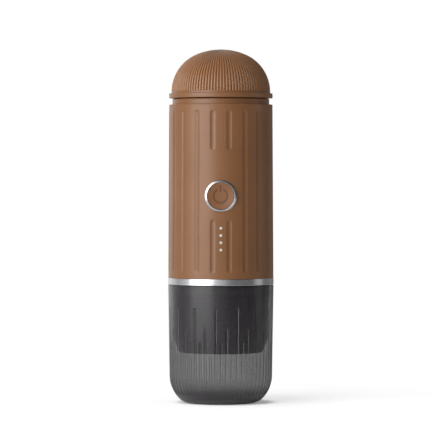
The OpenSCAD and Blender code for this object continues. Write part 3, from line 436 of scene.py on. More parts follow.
def on_front(points, height):
    """Points of a piece modelled upright, laid over so that its upper side faces the front at a height."""
    x, y, z = np.moveaxis(points, -1, 0)
    return np.stack([x, -z, y + height], axis=-1)


square = rounded([(0, 0), (1, 0), (1, 1), (0, 1)], [0.1] * 4)
print("a square with rounded corners has", len(square), "points")

# %% [markdown]
# ## Finishes
#
# The brown plastic is satin: a fine moulded grain breaks up the softbox's reflection. Its tone is darker
# down in the flutes, which is painted shade, and paler on the backs of the cap's ribs, which is a painted
# highlight. The bright metal has faint lines from its turning. The cup is smoky see-through plastic, denser
# towards the thick foot and at a slant. Inside, dark plastic, steel, silicone, the board and the cells each
# have their own grain, because they show when the cap and the cup come off.

# %% Brown plastic
BROWN = srgb(151, 105, 70)
BROWN_DEEP = srgb(145, 100, 65)
# Painted light: the next tone is painted shade for hollows, and the one after it is a painted highlight for
# rib backs.
BROWN_PAINTED_SHADE = srgb(102, 68, 44)
BROWN_PAINTED_HIGHLIGHT = srgb(177, 125, 86)
PAINTED_SHADE_SHARE = 0.35
BROWN_GRAIN = 0.35 * MM
BROWN_CLOUD = 30 * MM


def brown_plastic():
    """Satin plastic with a fine grain and faint clouds, painted shade in the hollows and a painted highlight
    on the crests.
    """
    f = Finish(bpy.data.materials.new("brown_plastic"))
    place = f.place()
    grain = f.noise(place, BROWN_GRAIN, detail=3)
    cloud = f.noise(place, BROWN_CLOUD)
    tone = f.mix(f.rise(cloud, 0.3, 0.7), BROWN, BROWN_DEEP)
    # Painted highlight: the backs of the dome's ribs and its top are made paler.
    tone = f.mix(f.named("crest"), tone, BROWN_PAINTED_HIGHLIGHT)
    # Painted shade: the tone is darkened down in the flutes, in the rib valleys and in the sunk sign.
    tone = f.mix(PAINTED_SHADE_SHARE * f.named("hollow"), tone, BROWN_PAINTED_SHADE)
    return f.surface(
        Base_Color=tone,
        Roughness=0.27 + 0.08 * grain,
        Normal=f.bump(grain, 0.12, 0.02 * MM),
        Specular_IOR_Level=0.46,
    )


brown = brown_plastic()
print(brown.name, "takes", len(brown.node_tree.nodes), "nodes")


# %% Metals
def bright_metal():
    """Polished metal: turned lines 0.15 mm apart round the axis, and faint smears on the polish."""
    f = Finish(bpy.data.materials.new("bright_metal"))
    place = f.place()
    lines = f.noise(f.stretched(place, (1, 1, 40)), 6 * MM)
    smear = f.noise(place, 9 * MM, detail=4)
    tone = f.mix(f.rise(smear, 0.35, 0.7), srgb(226, 226, 228), srgb(210, 210, 213))
    return f.surface(
        Base_Color=tone,
        Metallic=1.0,
        Roughness=0.2 + 0.06 * smear,
        Normal=f.bump(lines, 0.1, 0.01 * MM),
    )


def brushed_steel(name, light, deep, rough):
    """Drawn steel sheet: lines along its height and a blotchy tone."""
    f = Finish(bpy.data.materials.new(name))
    place = f.place()
    lines = f.noise(f.stretched(place, (60, 60, 1)), 20 * MM, detail=3)
    blotch = f.noise(place, 12 * MM)
    return f.surface(
        Base_Color=f.mix(blotch, light, deep),
        Metallic=1.0,
        Roughness=rough + 0.15 * lines,
        Normal=f.bump(lines, 0.15, 0.01 * MM),
    )


chrome = bright_metal()
steel = brushed_steel("steel", srgb(205, 205, 208), srgb(182, 182, 186), 0.22)
heater_metal = brushed_steel("heater_metal", srgb(120, 118, 115), srgb(96, 93, 90), 0.4)
print("metals:", chrome.name, steel.name, heater_metal.name)

# %% Smoky plastic
SMOKE = srgb(44, 38, 44)
SMOKE_DEEP = srgb(40, 35, 40)
WALL_ALPHA = 0.63
FOOT_ALPHA = 0.9
EDGE_ALPHA = 0.42
GROOVE_ALPHA = 0.22
INSIDE_ALPHA = 0.05
FOOT_ZONE = (2.5 * MM, 11 * MM)
COAT_LOSS = 0.8
SLANT_REACH = (0.5, 0.85)


def smoke_plastic():
    """See-through grey plastic, whose outer skin holds the tint of the whole wall.

    The thick foot and what is seen at a slant let less light pass. So do the sides of a groove, and its
    floor lets more pass. The gloss weakens at a slant, where a moulded skin is never quite smooth."""
    f = Finish(bpy.data.materials.new("smoke_plastic"))
    place = f.place()
    wave = f.noise(place, 14 * MM)
    foot = 1 - f.rise(f.axis(place, "Z"), *FOOT_ZONE)
    slant = f.node("LayerWeight", {"Blend": 0.5}, output="Facing")
    thin = f.named("groove") * (1 - f.node("NewGeometry", output="Backfacing"))
    wall = WALL_ALPHA + (FOOT_ALPHA - WALL_ALPHA) * foot
    dense = wall + EDGE_ALPHA * slant * slant * (1 - foot) - GROOVE_ALPHA * thin
    return f.surface(
        Base_Color=f.mix(foot, SMOKE, SMOKE_DEEP),
        Roughness=0.22 + 0.06 * wave,
        Alpha=INSIDE_ALPHA + (dense - INSIDE_ALPHA) * f.named("outer"),
        Normal=f.bump(wave, 0.05, 0.1 * MM),
        IOR=1.58,
        Coat_Weight=1 - COAT_LOSS * f.rise(slant, *SLANT_REACH),
        Coat_Roughness=0.2,
    )


smoke = smoke_plastic()
print(smoke.name, "takes", len(smoke.node_tree.nodes), "nodes")


# %% Finishes of the inner pieces
def grained(name, light, deep, rough, grain_size=0.4 * MM, strength=0.25):
    """Moulded plastic, rubber or foam: two close tones, with a grain that roughens and bumps the surface."""
    f = Finish(bpy.data.materials.new(name))
    place = f.place()
    grain = f.noise(place, grain_size, detail=3)
    cloud = f.noise(place, 20 * MM)
    return f.surface(
        Base_Color=f.mix(f.rise(cloud, 0.3, 0.7), light, deep),
        Roughness=rough + 0.12 * grain,
        Normal=f.bump(grain, strength, 0.03 * MM),
    )


def circuit_board():
    """Green lacquer over copper tracks: a grid of lines 1.6 mm apart, paler than the ground."""
    f = Finish(bpy.data.materials.new("board"))
    place = f.place()
    cells = f.node("TexVoronoi", {"Vector": place, "Scale": 1 / (1.6 * MM)}, distance="MANHATTAN")
    track = 1 - f.rise(cells, 0.25, 0.4)
    return f.surface(
        Base_Color=f.mix(track, srgb(22, 74, 44), srgb(52, 118, 66)),
        Roughness=0.3 + 0.1 * track,
        Normal=f.bump(track, 0.3, 0.03 * MM),
    )


def clear_light():
    """Milky light guide, which glows faintly at rest."""
    f = Finish(bpy.data.materials.new("clear_light"))
    milk = f.noise(f.place(), 0.8 * MM)
    return f.surface(
        Base_Color=f.mix(milk, srgb(226, 221, 214), srgb(208, 202, 196)),
        Roughness=0.25 + 0.1 * milk,
        Emission_Color=srgb(235, 225, 212),
        Emission_Strength=0.12,
    )


slot_finish = {
    "brown_plastic": brown,
    "bright_metal": chrome,
    "steel": steel,
    "heater_metal": heater_metal,
    "smoke_plastic": smoke,
    "dark_plastic": grained("dark_plastic", srgb(40, 39, 41), srgb(30, 29, 31), 0.38),
    "silicone": grained("silicone", srgb(74, 72, 71), srgb(64, 62, 61), 0.55, strength=0.15),
    "board": circuit_board(),
    "cell_wrap": grained("cell_wrap", srgb(52, 84, 140), srgb(44, 74, 126), 0.28, strength=0.1),
    "foam": grained("foam", srgb(214, 210, 202), srgb(196, 192, 184), 0.85, 0.9 * MM, 0.8),
    "clear_light": clear_light(),
    "pale_plastic": grained("pale_plastic", srgb(226, 222, 212), srgb(212, 207, 196), 0.42),
}

# %% Every solid gets the finish of its slot
for part in frame["record"]["subparts"]:
    mesh = frame["nodes"][part["node"]].data
    mesh.materials.clear()
    mesh.materials.append(slot_finish[part["material_slot"]])

# %% [markdown]
# ## Fluted body shell
#
# The shell is a tapered tube with twenty shallow flutes. Each flute is a round channel with round ends, and
# the two at the front stop short of the button. A flute's depth depends only on how far a point is from the
# flute's middle line, so the whole wall is one height field over angle and height. The grid's columns and
# rows crowd where the flutes have edges and ends. Two openings, for the button and for the charging port,
# are windows left out of the grid. Rings of points that lead from the window's edge to the opening's
# outline, and on through the wall, fill them.

# %% Sizes of the shell
shell_low, shell_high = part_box("body_shell")
bezel_low, bezel_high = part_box("button_bezel")
cover_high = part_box("usb_cover")[1]
SHELL_BOTTOM, NECK_TOP = shell_low.z, shell_high.z
SHOULDER = NECK_TOP - 3.9 * MM
LEDGE = SHOULDER - 2.6 * MM
RADIUS_BOTTOM = shell_high.x
RADIUS_TOP = RADIUS_BOTTOM - 0.6 * MM
NECK_RADIUS = 32.1 * MM
NECK_BORE = 28.5 * MM
BORE = 31.9 * MM
BUTTON_HEIGHT = (bezel_low.z + bezel_high.z) / 2
BUTTON_SEAT = 32.52 * MM
PORT_HEIGHT = cover_high.z - 4 * MM

FLUTES = 20
FLUTE_WIDTH = 3.6 * MM
FLUTE_DEPTH = 0.45 * MM
FLUTE_EDGE = 0.03 * MM
FLUTE_PAINTED_SHADE = 0.5
FLUTE_LOW = SHELL_BOTTOM + 3.9 * MM
FLUTE_HIGH = SHOULDER - 4.1 * MM
FRONT_GAP = (BUTTON_HEIGHT - 15.4 * MM, BUTTON_HEIGHT + 30.1 * MM)
REAR_LOW = PORT_HEIGHT + 11.9 * MM
flute_pitch = 2 * np.pi / FLUTES
print(f"shell from {SHELL_BOTTOM / MM:.1f} to {NECK_TOP / MM:.1f} mm, button at {BUTTON_HEIGHT / MM:.1f} mm")


# %% Height field of the flutes
def shell_radius(height):
    """Outside radius of the plain shell: it narrows evenly from its lower end to the shoulder."""
    return RADIUS_BOTTOM + (RADIUS_TOP - RADIUS_BOTTOM) * (height - SHELL_BOTTOM) / (SHOULDER - SHELL_BOTTOM)


def flute_spans():
    """Lower and upper end of each flute's two stretches, the first flute being the one right of +X."""
    spans = np.tile([[FLUTE_LOW, FLUTE_HIGH], [FLUTE_LOW, FLUTE_HIGH]], (FLUTES, 1, 1))
    rear, front = FLUTES // 4, 3 * FLUTES // 4
    spans[[rear - 1, rear], :, 0] = REAR_LOW
    spans[[front - 1, front], 0, 1] = FRONT_GAP[0]
    spans[[front - 1, front], 1, 0] = FRONT_GAP[1]
    return spans


def channel_depth(distance, width, depth, edge):
    """Depth of a round channel at a distance from its middle line: an arc of that width and depth.

    The arc is cut off softly at the surface, as half of (f + root of f squared and edge squared)."""
    arc_radius = (width**2 / 4 + depth**2) / (2 * depth)
    inside = np.minimum(distance, 0.99 * arc_radius)
    f = np.sqrt(arc_radius**2 - inside**2) - (arc_radius - depth)
    return (f + np.sqrt(f**2 + edge**2)) / 2


def flute_depth(angle, height):
    """Depth of the nearest flute: its distance is measured across, and past its ends also along it."""
    number = np.floor(angle / flute_pitch).astype(int) % FLUTES
    across = (angle - (np.floor(angle / flute_pitch) + 0.5) * flute_pitch) * shell_radius(height)
    ends = flute_spans()[number]
    low, high = ends[..., 0] + FLUTE_WIDTH / 2, ends[..., 1] - FLUTE_WIDTH / 2
    past = np.maximum(np.maximum(low - height[..., None], height[..., None] - high), 0).min(axis=-1)
    return channel_depth(np.hypot(across, past), FLUTE_WIDTH, FLUTE_DEPTH, FLUTE_EDGE)


print(len(flute_spans()), "flutes,", round(FLUTE_WIDTH / MM, 1), "mm wide")

# %% Columns and rows of the shell
COLUMN_STEPS = np.array([0.65, 1.2, 1.57, 1.74, 1.86, 2.0, 2.5, 3.4, 4.4]) * MM
END_STEPS = np.array([-0.4, -0.15, 0, 0.15, 0.35, 0.7, 1.2, 1.95, 2.6]) * MM
PLAIN_STEP = 6 * MM
WINDOW_STEP = 0.9 * MM
BUTTON_STEPS, PORT_STEPS = 15, 7
BUTTON_WINDOW = (21.2, BUTTON_STEPS * WINDOW_STEP)
PORT_WINDOW = (18.0, PORT_STEPS * WINDOW_STEP)
NEAR = 0.01 * MM

side = COLUMN_STEPS / RADIUS_TOP
in_flute = np.concatenate([[-flute_pitch / 2], -side[::-1], [0], side])
columns = (np.arange(FLUTES)[:, None] * flute_pitch + flute_pitch / 2 + in_flute).ravel()

lower_ends = np.add.outer([FLUTE_LOW, REAR_LOW, FRONT_GAP[1]], END_STEPS).ravel()
upper_ends = np.add.outer([FLUTE_HIGH, FRONT_GAP[0]], -END_STEPS).ravel()
button_rows = BUTTON_HEIGHT + np.arange(-BUTTON_STEPS, BUTTON_STEPS + 1) * WINDOW_STEP
port_rows = PORT_HEIGHT + np.arange(-PORT_STEPS, PORT_STEPS + 1) * WINDOW_STEP
plain_rows = np.arange(SHELL_BOTTOM + 1 * MM, SHOULDER - 1 * MM, PLAIN_STEP)
wall_rows = np.concatenate([lower_ends, upper_ends, button_rows, port_rows, plain_rows])
wall_rows = np.unique(np.round(wall_rows, 6))
by_button = np.abs(wall_rows - BUTTON_HEIGHT) < BUTTON_WINDOW[1] + NEAR
by_port = np.abs(wall_rows - PORT_HEIGHT) < PORT_WINDOW[1] + NEAR
back_rows = wall_rows[by_button | by_port]
print(len(columns), "columns and", len(wall_rows), "rows on the outer wall")

# %% Outline of the shell and its grid
foot_top = wall_rows[0]
foot = rounded(
    [(BORE, foot_top), (BORE, SHELL_BOTTOM), (RADIUS_BOTTOM, SHELL_BOTTOM), (RADIUS_BOTTOM, foot_top)],
    [0, 0.2 * MM, 0.25 * MM, 0],
)[:-1]
head = rounded(
    [
        (shell_radius(wall_rows[-1]), wall_rows[-1]), (RADIUS_TOP, SHOULDER), (NECK_RADIUS, SHOULDER),
        (NECK_RADIUS, NECK_TOP), (NECK_BORE, NECK_TOP), (NECK_BORE, LEDGE), (BORE, LEDGE),
        (BORE, back_rows[-1]),
    ],
    [0, 0.6 * MM, 0.12 * MM, 0.9 * MM, 0.35 * MM, 0.1 * MM, 0.1 * MM, 0],
)[1:-1]
wall = np.stack([shell_radius(wall_rows), wall_rows], axis=1)
back = np.stack([np.full(len(back_rows), BORE), back_rows], axis=1)[::-1]
outline = np.concatenate([foot, wall, head, back])
wall_start, back_start = len(foot), len(foot) + len(wall) + len(head)

sunk = np.zeros((len(outline), len(columns)))
wall_grid = np.broadcast_arrays(columns[None], wall_rows[:, None])
sunk[wall_start:wall_start + len(wall)] = flute_depth(*wall_grid)
shell_grid = carried_round(outline, columns)
shell_grid[..., :2] *= (1 - sunk / outline[:, :1])[..., None]
print("deepest point of a flute:", round(sunk.max() / MM, 2), "mm")

# %% Windows and openings
LEAD_IN = (0.3, 0.55, 0.75, 0.88, 0.96, 1.0)


def reach(turn, width, height):
    """Distance from the middle of a flat outline with round ends to its edge, in the direction turn.

    A ray that leaves through a long side is half the height / |sin| long. The others end on a round end."""
    straight, end_radius = (width - height) / 2, height / 2
    c, s = np.abs(np.cos(turn)), np.abs(np.sin(turn))
    flat = end_radius / np.maximum(s, 1e-9)
    end = straight * c + np.sqrt(np.maximum(end_radius**2 - (straight * s) ** 2, 0))
    return np.where(flat * c <= straight, flat, end)


def window_ring(rows, first, last):
    """Points round a window of the grid, anticlockwise from its lower left corner."""
    (top, bottom), (left, right) = rows, (first, last)
    step = 1 if top > bottom else -1
    up, over = np.arange(bottom, top, step), np.arange(left, right)
    i = np.concatenate([np.full(len(over), bottom), up, np.full(len(over), top), up[::-1] + step])
    j = np.concatenate([over, np.full(len(up), right), over[::-1] + 1, np.full(len(up), left)])
    return shell_grid[i, j]


def skin_point(x, z, facing):
    """Point of the fluted skin at x and z on the front (facing -1) or the back (facing 1)."""
    plain = shell_radius(z)
    angle = np.arctan2(facing * np.sqrt(plain**2 - x**2), x) % (2 * np.pi)
    radius = plain - flute_depth(angle, z)
    return np.stack([x, facing * np.sqrt(radius**2 - x**2), z], axis=-1)


def nearest(values, wanted):
    return int(np.abs(values - wanted).argmin())


def opening(middle_angle, height, window, levels):
    """Grid of rings from a window's edge down through the wall, and the cells that are left out for it.

    Each level is an outline's width and height, how far from the axis it lies, and whether it is flat.
    On the skin the rings close in on the first outline by the shares in LEAD_IN."""
    half_angle, half_height = math.radians(window[0]), window[1]
    facing = np.sign(math.sin(middle_angle))
    first, last = nearest(columns, middle_angle - half_angle), nearest(columns, middle_angle + half_angle)
    low, high = nearest(wall_rows, height - half_height), nearest(wall_rows, height + half_height)
    in_low, in_high = nearest(back[:, 1], height - half_height), nearest(back[:, 1], height + half_height)
    outer = window_ring((wall_start + high, wall_start + low), first, last)
    inner = window_ring((back_start + in_high, back_start + in_low), first, last)
    turn = np.arctan2(outer[:, 2] - height, outer[:, 0])
    rings = [outer]
    edge = reach(turn, *levels[0][:2])
    for share in LEAD_IN:
        x = outer[:, 0] + (edge * np.cos(turn) - outer[:, 0]) * share
        z = outer[:, 2] + (height + edge * np.sin(turn) - outer[:, 2]) * share
        rings.append(skin_point(x, z, facing))
    for wide, tall, lies_on, flat in levels:
        edge = reach(turn, wide, tall)
        x, z = edge * np.cos(turn), height + edge * np.sin(turn)
        y = np.full_like(x, lies_on) if flat else np.sqrt(lies_on**2 - x**2)
        rings.append(np.stack([x, facing * y, z], axis=-1))
    rings.append(inner)
    cells = [(slice(wall_start + low, wall_start + high), slice(first, last)),
             (slice(back_start + in_high, back_start + in_low), slice(first, last))]
    return np.stack(rings), cells


SEAT_WIDTH = bezel_high.x - bezel_low.x - 0.5 * MM
SLEEVE_WIDTH = 19.9 * MM
PORT_FLOOR = 33.33 * MM
PORT_RECESS = (15.6 * MM, 8.6 * MM)
PORT_HOLE = (9.6 * MM, 4.0 * MM)
button_rings, button_cells = opening(
    1.5 * np.pi, BUTTON_HEIGHT, BUTTON_WINDOW,
    [(SEAT_WIDTH, SEAT_WIDTH, BUTTON_SEAT, True), (SLEEVE_WIDTH, SLEEVE_WIDTH, BUTTON_SEAT, True),
     (SLEEVE_WIDTH, SLEEVE_WIDTH, BORE, False)],
)
port_rings, port_cells = opening(
    0.5 * np.pi, PORT_HEIGHT, PORT_WINDOW,
    [(*PORT_RECESS, PORT_FLOOR, False), (*PORT_HOLE, PORT_FLOOR, False), (*PORT_HOLE, BORE, False)],
)
print("the openings have", len(button_rings), "and", len(port_rings), "rings of points")

# %% The shell as one closed mesh
shell_quads = grid_quads(*shell_grid.shape[:2], rows_closed=True)
kept = np.ones(shell_quads.shape[:2], bool)
for cell_rows, cell_columns in button_cells + port_cells:
    kept[cell_rows, cell_columns] = False
parts = [shell_grid.reshape(-1, 3), button_rings.reshape(-1, 3), port_rings.reshape(-1, 3)]
starts = np.cumsum([0] + [len(p) for p in parts])
button_quads = grid_quads(*button_rings.shape[:2]) + starts[1]
port_quads = grid_quads(*port_rings.shape[:2]) + starts[2]
# Painted shade: the tone darkens with a point's depth in its flute.
hollow = np.concatenate([(FLUTE_PAINTED_SHADE * sunk / FLUTE_DEPTH).ravel(), np.zeros(starts[-1] - starts[1])])
new_piece(
    "fluted_shell", np.concatenate(parts), [shell_quads[kept], button_quads, port_quads],
    "main_body", brown, "brown_plastic", "body_shell", hollow=hollow,
)

# %% [markdown]
# ## Ribbed cap
#
# The dome's outline is a side arc that runs smoothly into a flatter crown. A hundred ribs run from its foot
# to the top, rounded on their backs with a sharp valley between two of them. The valleys are cut along the
# dome's normal and get shallower where the ribs crowd together, so the top stays whole. The points also
# hold how deep they lie: that feeds painted shade in the valleys and a painted highlight on the backs and
# the top. The rim below is a plain turned ring with softened edges, and carries the plug that goes into the
# neck.

# %% Dome
dome_low, dome_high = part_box("cap_dome")
DOME_FOOT, DOME_TOP = dome_low.z, dome_high.z
DOME_RADIUS = dome_high.x
DOME_STEP = 1.0 * MM
SIDE_ARC = 27.0 * MM
DOME_WALL = 2.0 * MM
RIBS = 100
RIB_DEPTH = 0.7 * MM
RIB_SHARE = 0.3
RIB_POWER = 3.2
RIB_START = (0.5, 1.1)
RIB_END = (76, 80)
RIB_PAINTED_SHADE = 2.6
PAINTED_HIGHLIGHT_SHARE = 0.75
RIB_STEPS = np.array([-0.5, -0.45, -0.37, -0.25, -0.13, 0, 0.13, 0.25, 0.37, 0.45])
dome_height = DOME_TOP - DOME_FOOT - DOME_STEP
crown_arc = (DOME_RADIUS**2 + dome_height**2 - 2 * DOME_RADIUS * SIDE_ARC) / (2 * (dome_height - SIDE_ARC))
arc_joint = np.arctan2(crown_arc - dome_height, DOME_RADIUS - SIDE_ARC)


def dome_point(slope, inset):
    """Radius and height where the dome's normal rises by slope, on a surface inset below the outer one.

    Below the joint the point lies on the side arc, above it on the crown, whose centre is on the axis. The
    side arc starts a short upright step above the foot, which is the row of slope 0."""
    side = slope < arc_joint
    arc = np.where(side, SIDE_ARC, crown_arc) - inset
    radius = np.where(side, DOME_RADIUS - SIDE_ARC, 0) + arc * np.cos(slope)
    height = np.where(side, 0, dome_height - crown_arc) + arc * np.sin(slope)
    return radius, DOME_FOOT + np.where(slope == 0, 0, DOME_STEP + height)


rib_columns = ((np.arange(RIBS)[:, None] + RIB_STEPS) * 2 * np.pi / RIBS).ravel()
rib_shape = np.tile(np.abs(2 * RIB_STEPS) ** RIB_POWER, RIBS)
low_rows, high_rows = [0, 0.5, 0.8, 1.1, 1.6, 3], [84.5, 86, 87.5, 88.8]
degrees = np.concatenate([low_rows, np.arange(5, 84, 2.0), high_rows])[:, None]
slopes = np.radians(degrees)
plain_radius = dome_point(slopes, 0)[0]
started = np.interp(degrees, RIB_START, (0, 1))
valley = np.minimum(RIB_DEPTH, RIB_SHARE * 2 * np.pi * plain_radius / RIBS)
valley = valley * started * np.interp(degrees, RIB_END, (1, 0))
radius, height = dome_point(slopes, valley * rib_shape)
outside = np.stack([radius * np.cos(rib_columns), radius * np.sin(rib_columns), height], axis=-1)
inner_slopes = np.radians(np.array([86, 70, 45, 20, 0]))[:, None]
radius, height = dome_point(inner_slopes, DOME_WALL)
inside = carried_round(np.concatenate([radius, height], axis=1), rib_columns)
dome_rows = np.concatenate([inside, outside])
points, faces = with_poles(dome_rows, (0, 0, DOME_TOP - DOME_WALL), (0, 0, DOME_TOP))
plain = np.zeros(inside[..., 0].size)
sunk = valley / RIB_DEPTH * rib_shape
# Painted shade in the valleys, and a painted highlight on the rib backs and the top.
hollow = np.concatenate([plain, (RIB_PAINTED_SHADE * sunk).ravel(), [0, 0]])
crest = np.concatenate([plain, (PAINTED_HIGHLIGHT_SHARE * started * (1 - sunk)).ravel(), [0, PAINTED_HIGHLIGHT_SHARE]])
new_piece(
    "ribbed_dome", points, faces, "cap", brown, "brown_plastic", "cap_dome", hollow=hollow, crest=crest
)

# %% Cap rim with its plug
rim_low, rim_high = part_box("cap_rim")
seal_low, seal_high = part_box("cap_seal")
RIM_UNDER = NECK_TOP + 0.3 * MM
PLUG_RADIUS = NECK_BORE - 0.3 * MM
SEAL_SEAT = PLUG_RADIUS - 1.5 * MM
PLUG_INSIDE = SEAL_SEAT - 2.2 * MM
PLUG_FLOOR = 2.0 * MM
POLE_RING = 4 * MM
SEAL_ROOM = 0.05 * MM
SEAT_LOW, SEAT_HIGH = seal_low.z - SEAL_ROOM, seal_high.z + SEAL_ROOM
outline = rounded(
    [
        (POLE_RING, rim_low.z), (PLUG_RADIUS, rim_low.z), (PLUG_RADIUS, SEAT_LOW), (SEAL_SEAT, SEAT_LOW),
        (SEAL_SEAT, SEAT_HIGH), (PLUG_RADIUS, SEAT_HIGH), (PLUG_RADIUS, RIM_UNDER), (rim_high.x, RIM_UNDER),
        (rim_high.x, rim_high.z), (PLUG_INSIDE, rim_high.z), (PLUG_INSIDE, rim_low.z + PLUG_FLOOR),
        (POLE_RING, rim_low.z + PLUG_FLOOR),
    ],
    np.array([0, 0.6, 0.15, 0.1, 0.1, 0.15, 0.3, 0.35, 0.5, 0.2, 0.8, 0]) * MM,
)
points, faces = with_poles(
    carried_round(outline, even_angles(240)), (0, 0, rim_low.z), (0, 0, rim_low.z + PLUG_FLOOR)
)
new_piece("cap_rim_ring", points, faces, "cap", brown, "brown_plastic", "cap_rim")

# %% [markdown]
# ## Trim ring, button and its bezel
#
# Bright edges make these small pieces. Their outlines follow the solids, with rounded corners that catch
# the light, and the bezel's face slopes outward. The button's face is a shallow dish with the usual power
# sign sunk into it: a ring with a gap at the top, and a short bar in the gap. The sign is a distance again,
# to ring and bar, which sinks the face where it is less than half the stroke.

# %% Trim ring
ring_low, ring_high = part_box("trim_ring")
RING_BORE = 30.0 * MM
outline = rounded(
    [
        (RING_BORE, ring_low.z), (ring_high.x, ring_low.z),
        (ring_high.x, ring_high.z), (RING_BORE, ring_high.z),
    ],
    np.array([0.1, 0.15, 0.35, 0.1]) * MM,
)
rows = carried_round(outline, even_angles(320))
new_piece("bright_ring", rows, as_ring(rows), "main_body", chrome, "bright_metal", "trim_ring")

# %% Bezel
BEZEL_FRONT = -bezel_low.y
BEZEL_RADIUS = SEAT_WIDTH / 2 - 0.05 * MM
BEZEL_SLOPE = 0.75 * MM
BEZEL_BORE = bezel_high.x - 1.8 * MM
SLEEVE_RADIUS = BEZEL_BORE + 0.9 * MM
SLEEVE_END = -bezel_high.y
outline = rounded(
    [
        (BEZEL_BORE, SLEEVE_END), (SLEEVE_RADIUS, SLEEVE_END), (SLEEVE_RADIUS, BUTTON_SEAT),
        (BEZEL_RADIUS, BUTTON_SEAT), (BEZEL_RADIUS, BEZEL_FRONT - BEZEL_SLOPE), (BEZEL_BORE, BEZEL_FRONT),
    ],
    np.array([0.1, 0.1, 0.1, 0.1, 0.25, 0.25]) * MM,
)
rows = on_front(carried_round(outline, even_angles(200)), BUTTON_HEIGHT)
new_piece("button_ring", rows, as_ring(rows), "main_body", chrome, "bright_metal", "button_bezel")

# %% Button with its sunk sign
button_low, button_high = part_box("power_button")
BUTTON_RADIUS = BEZEL_BORE - 0.15 * MM
BUTTON_FRONT = -button_low.y
BUTTON_BACK = -button_high.y
FLANGE_RADIUS = BUTTON_RADIUS + 0.7 * MM
FLANGE_TOP = BUTTON_BACK + 1.5 * MM
DISH_DEPTH = 0.8 * MM
DISH_RADIUS = BUTTON_RADIUS - 0.5 * MM
SIGN_RADIUS = 4.5 * MM
SIGN_STROKE = 1.1 * MM
SIGN_DEPTH = 0.22 * MM
SIGN_GAP = math.radians(29)
SIGN_BAR = (3.3 * MM, 6.3 * MM)
SIGN_SOFT = 0.16 * MM
SIGN_PAINTED_SHADE = 1.8


def sign_distance(x, y):
    """Distance to the sign's middle line: to the ring, to its two ends in the gap, or to the bar."""
    from_top = np.arctan2(x, y)
    on_ring = np.abs(np.hypot(x, y) - SIGN_RADIUS)
    end_x, end_y = SIGN_RADIUS * math.sin(SIGN_GAP), SIGN_RADIUS * math.cos(SIGN_GAP)
    at_end = np.hypot(np.abs(x) - end_x, y - end_y)
    ring = np.where(np.abs(from_top) > SIGN_GAP, on_ring, at_end)
    bar = np.hypot(x, y - np.clip(y, *SIGN_BAR))
    return np.minimum(ring, bar)


def dish_height(radius):
    """Height of the dished face: a sphere that sinks DISH_DEPTH below the front in the middle."""
    sphere = (DISH_RADIUS**2 + DISH_DEPTH**2) / (2 * DISH_DEPTH)
    return BUTTON_FRONT - DISH_DEPTH + sphere - np.sqrt(sphere**2 - np.minimum(radius, DISH_RADIUS) ** 2)


side_outline = rounded(
    [
        (POLE_RING, BUTTON_BACK), (FLANGE_RADIUS, BUTTON_BACK), (FLANGE_RADIUS, FLANGE_TOP),
        (BUTTON_RADIUS, FLANGE_TOP), (BUTTON_RADIUS, BUTTON_FRONT), (DISH_RADIUS, BUTTON_FRONT),
    ],
    np.array([0, 0.1, 0.1, 0.1, 0.25, 0]) * MM,
)
face_radius = np.concatenate([np.arange(8.25, 7, -0.3), np.arange(7, 3, -0.1), np.arange(3, 0, -0.4)]) * MM
face_outline = np.stack([face_radius, dish_height(face_radius)], axis=1)
rows = carried_round(np.concatenate([side_outline, face_outline]), even_angles(360))
stroke = SIGN_STROKE / 2 - sign_distance(rows[..., 0], rows[..., 1])
signed = np.clip(stroke / SIGN_SOFT + 0.5, 0, 1)
signed[: len(side_outline)] = 0
signed = signed**2 * (3 - 2 * signed)
rows[..., 2] -= SIGN_DEPTH * signed
points, faces = with_poles(rows, (0, 0, BUTTON_BACK), (0, 0, BUTTON_FRONT - DISH_DEPTH))
points = on_front(points, BUTTON_HEIGHT)
# Painted shade: the sunk sign's tone is darkened by how far it is sunk.
hollow = np.concatenate([SIGN_PAINTED_SHADE * signed.ravel(), [0, 0]])
new_piece("dished_button", points, faces, "button", brown, "brown_plastic", "power_button", hollow=hollow)

# %% [markdown]
# ## Smoky cup and brew head
#
# The cup's wall is thin enough to see the brew head through it. Sixty narrow grooves run down the outside
# and round the lower corner, starting at four heights in turn. A groove is a round channel, like a small
# flute. Its sides are dense and catch the softbox, and its floor is clear. Distance along the wall takes
# the place of height here, so that a groove keeps its width round the corner. The brew head hangs inside
# the cup as a plain dark drum that narrows towards its lower end.

# %% Outline of the cup
cup_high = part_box("cup")[1]
CUP_TOP, CUP_RADIUS = cup_high.z, cup_high.x
CORNER_HEIGHT = 18.3 * MM
CORNER_ARC = 22.0 * MM
CORNER_RADIUS = 34.05 * MM
CUP_WALL = 2.4 * MM
CUP_FLOOR = 3.2 * MM
FOOT_ANGLE = 49.0
FOOT_TANGENT = 47.5
FOOT_FLAT = 22.4 * MM
FOOT_BLEND = 4.0 * MM
RIM_REACH = 2 * MM
PLAIN_HEIGHTS = np.arange(21.5, 77, 7) * MM
GROOVE_END_TURNS = (36, 30)
INNER_HEIGHTS = np.array([70, 55, 38, 26]) * MM
FLOOR_RADII = np.array([22.6, 16, 4]) * MM
corner_centre = CORNER_RADIUS - CORNER_ARC
GROOVES = 60
GROOVE_PHASE = math.radians(-95.5)
GROOVE_WIDTH = 1.9 * MM
GROOVE_DEPTH = 0.5 * MM
GROOVE_EDGE = 0.02 * MM
GROOVE_TOPS = np.array([64, 41.3, 50.5, 32.4]) * MM
GROOVE_WRAP = math.radians(34)
GROOVE_COLUMNS = np.array([0.22, 0.44, 0.65, 0.83, 0.97, 1.35]) * MM
TOP_STEPS = np.array([-0.15, 0, 0.12, 0.5, 0.6, 0.72, 1.2]) * MM


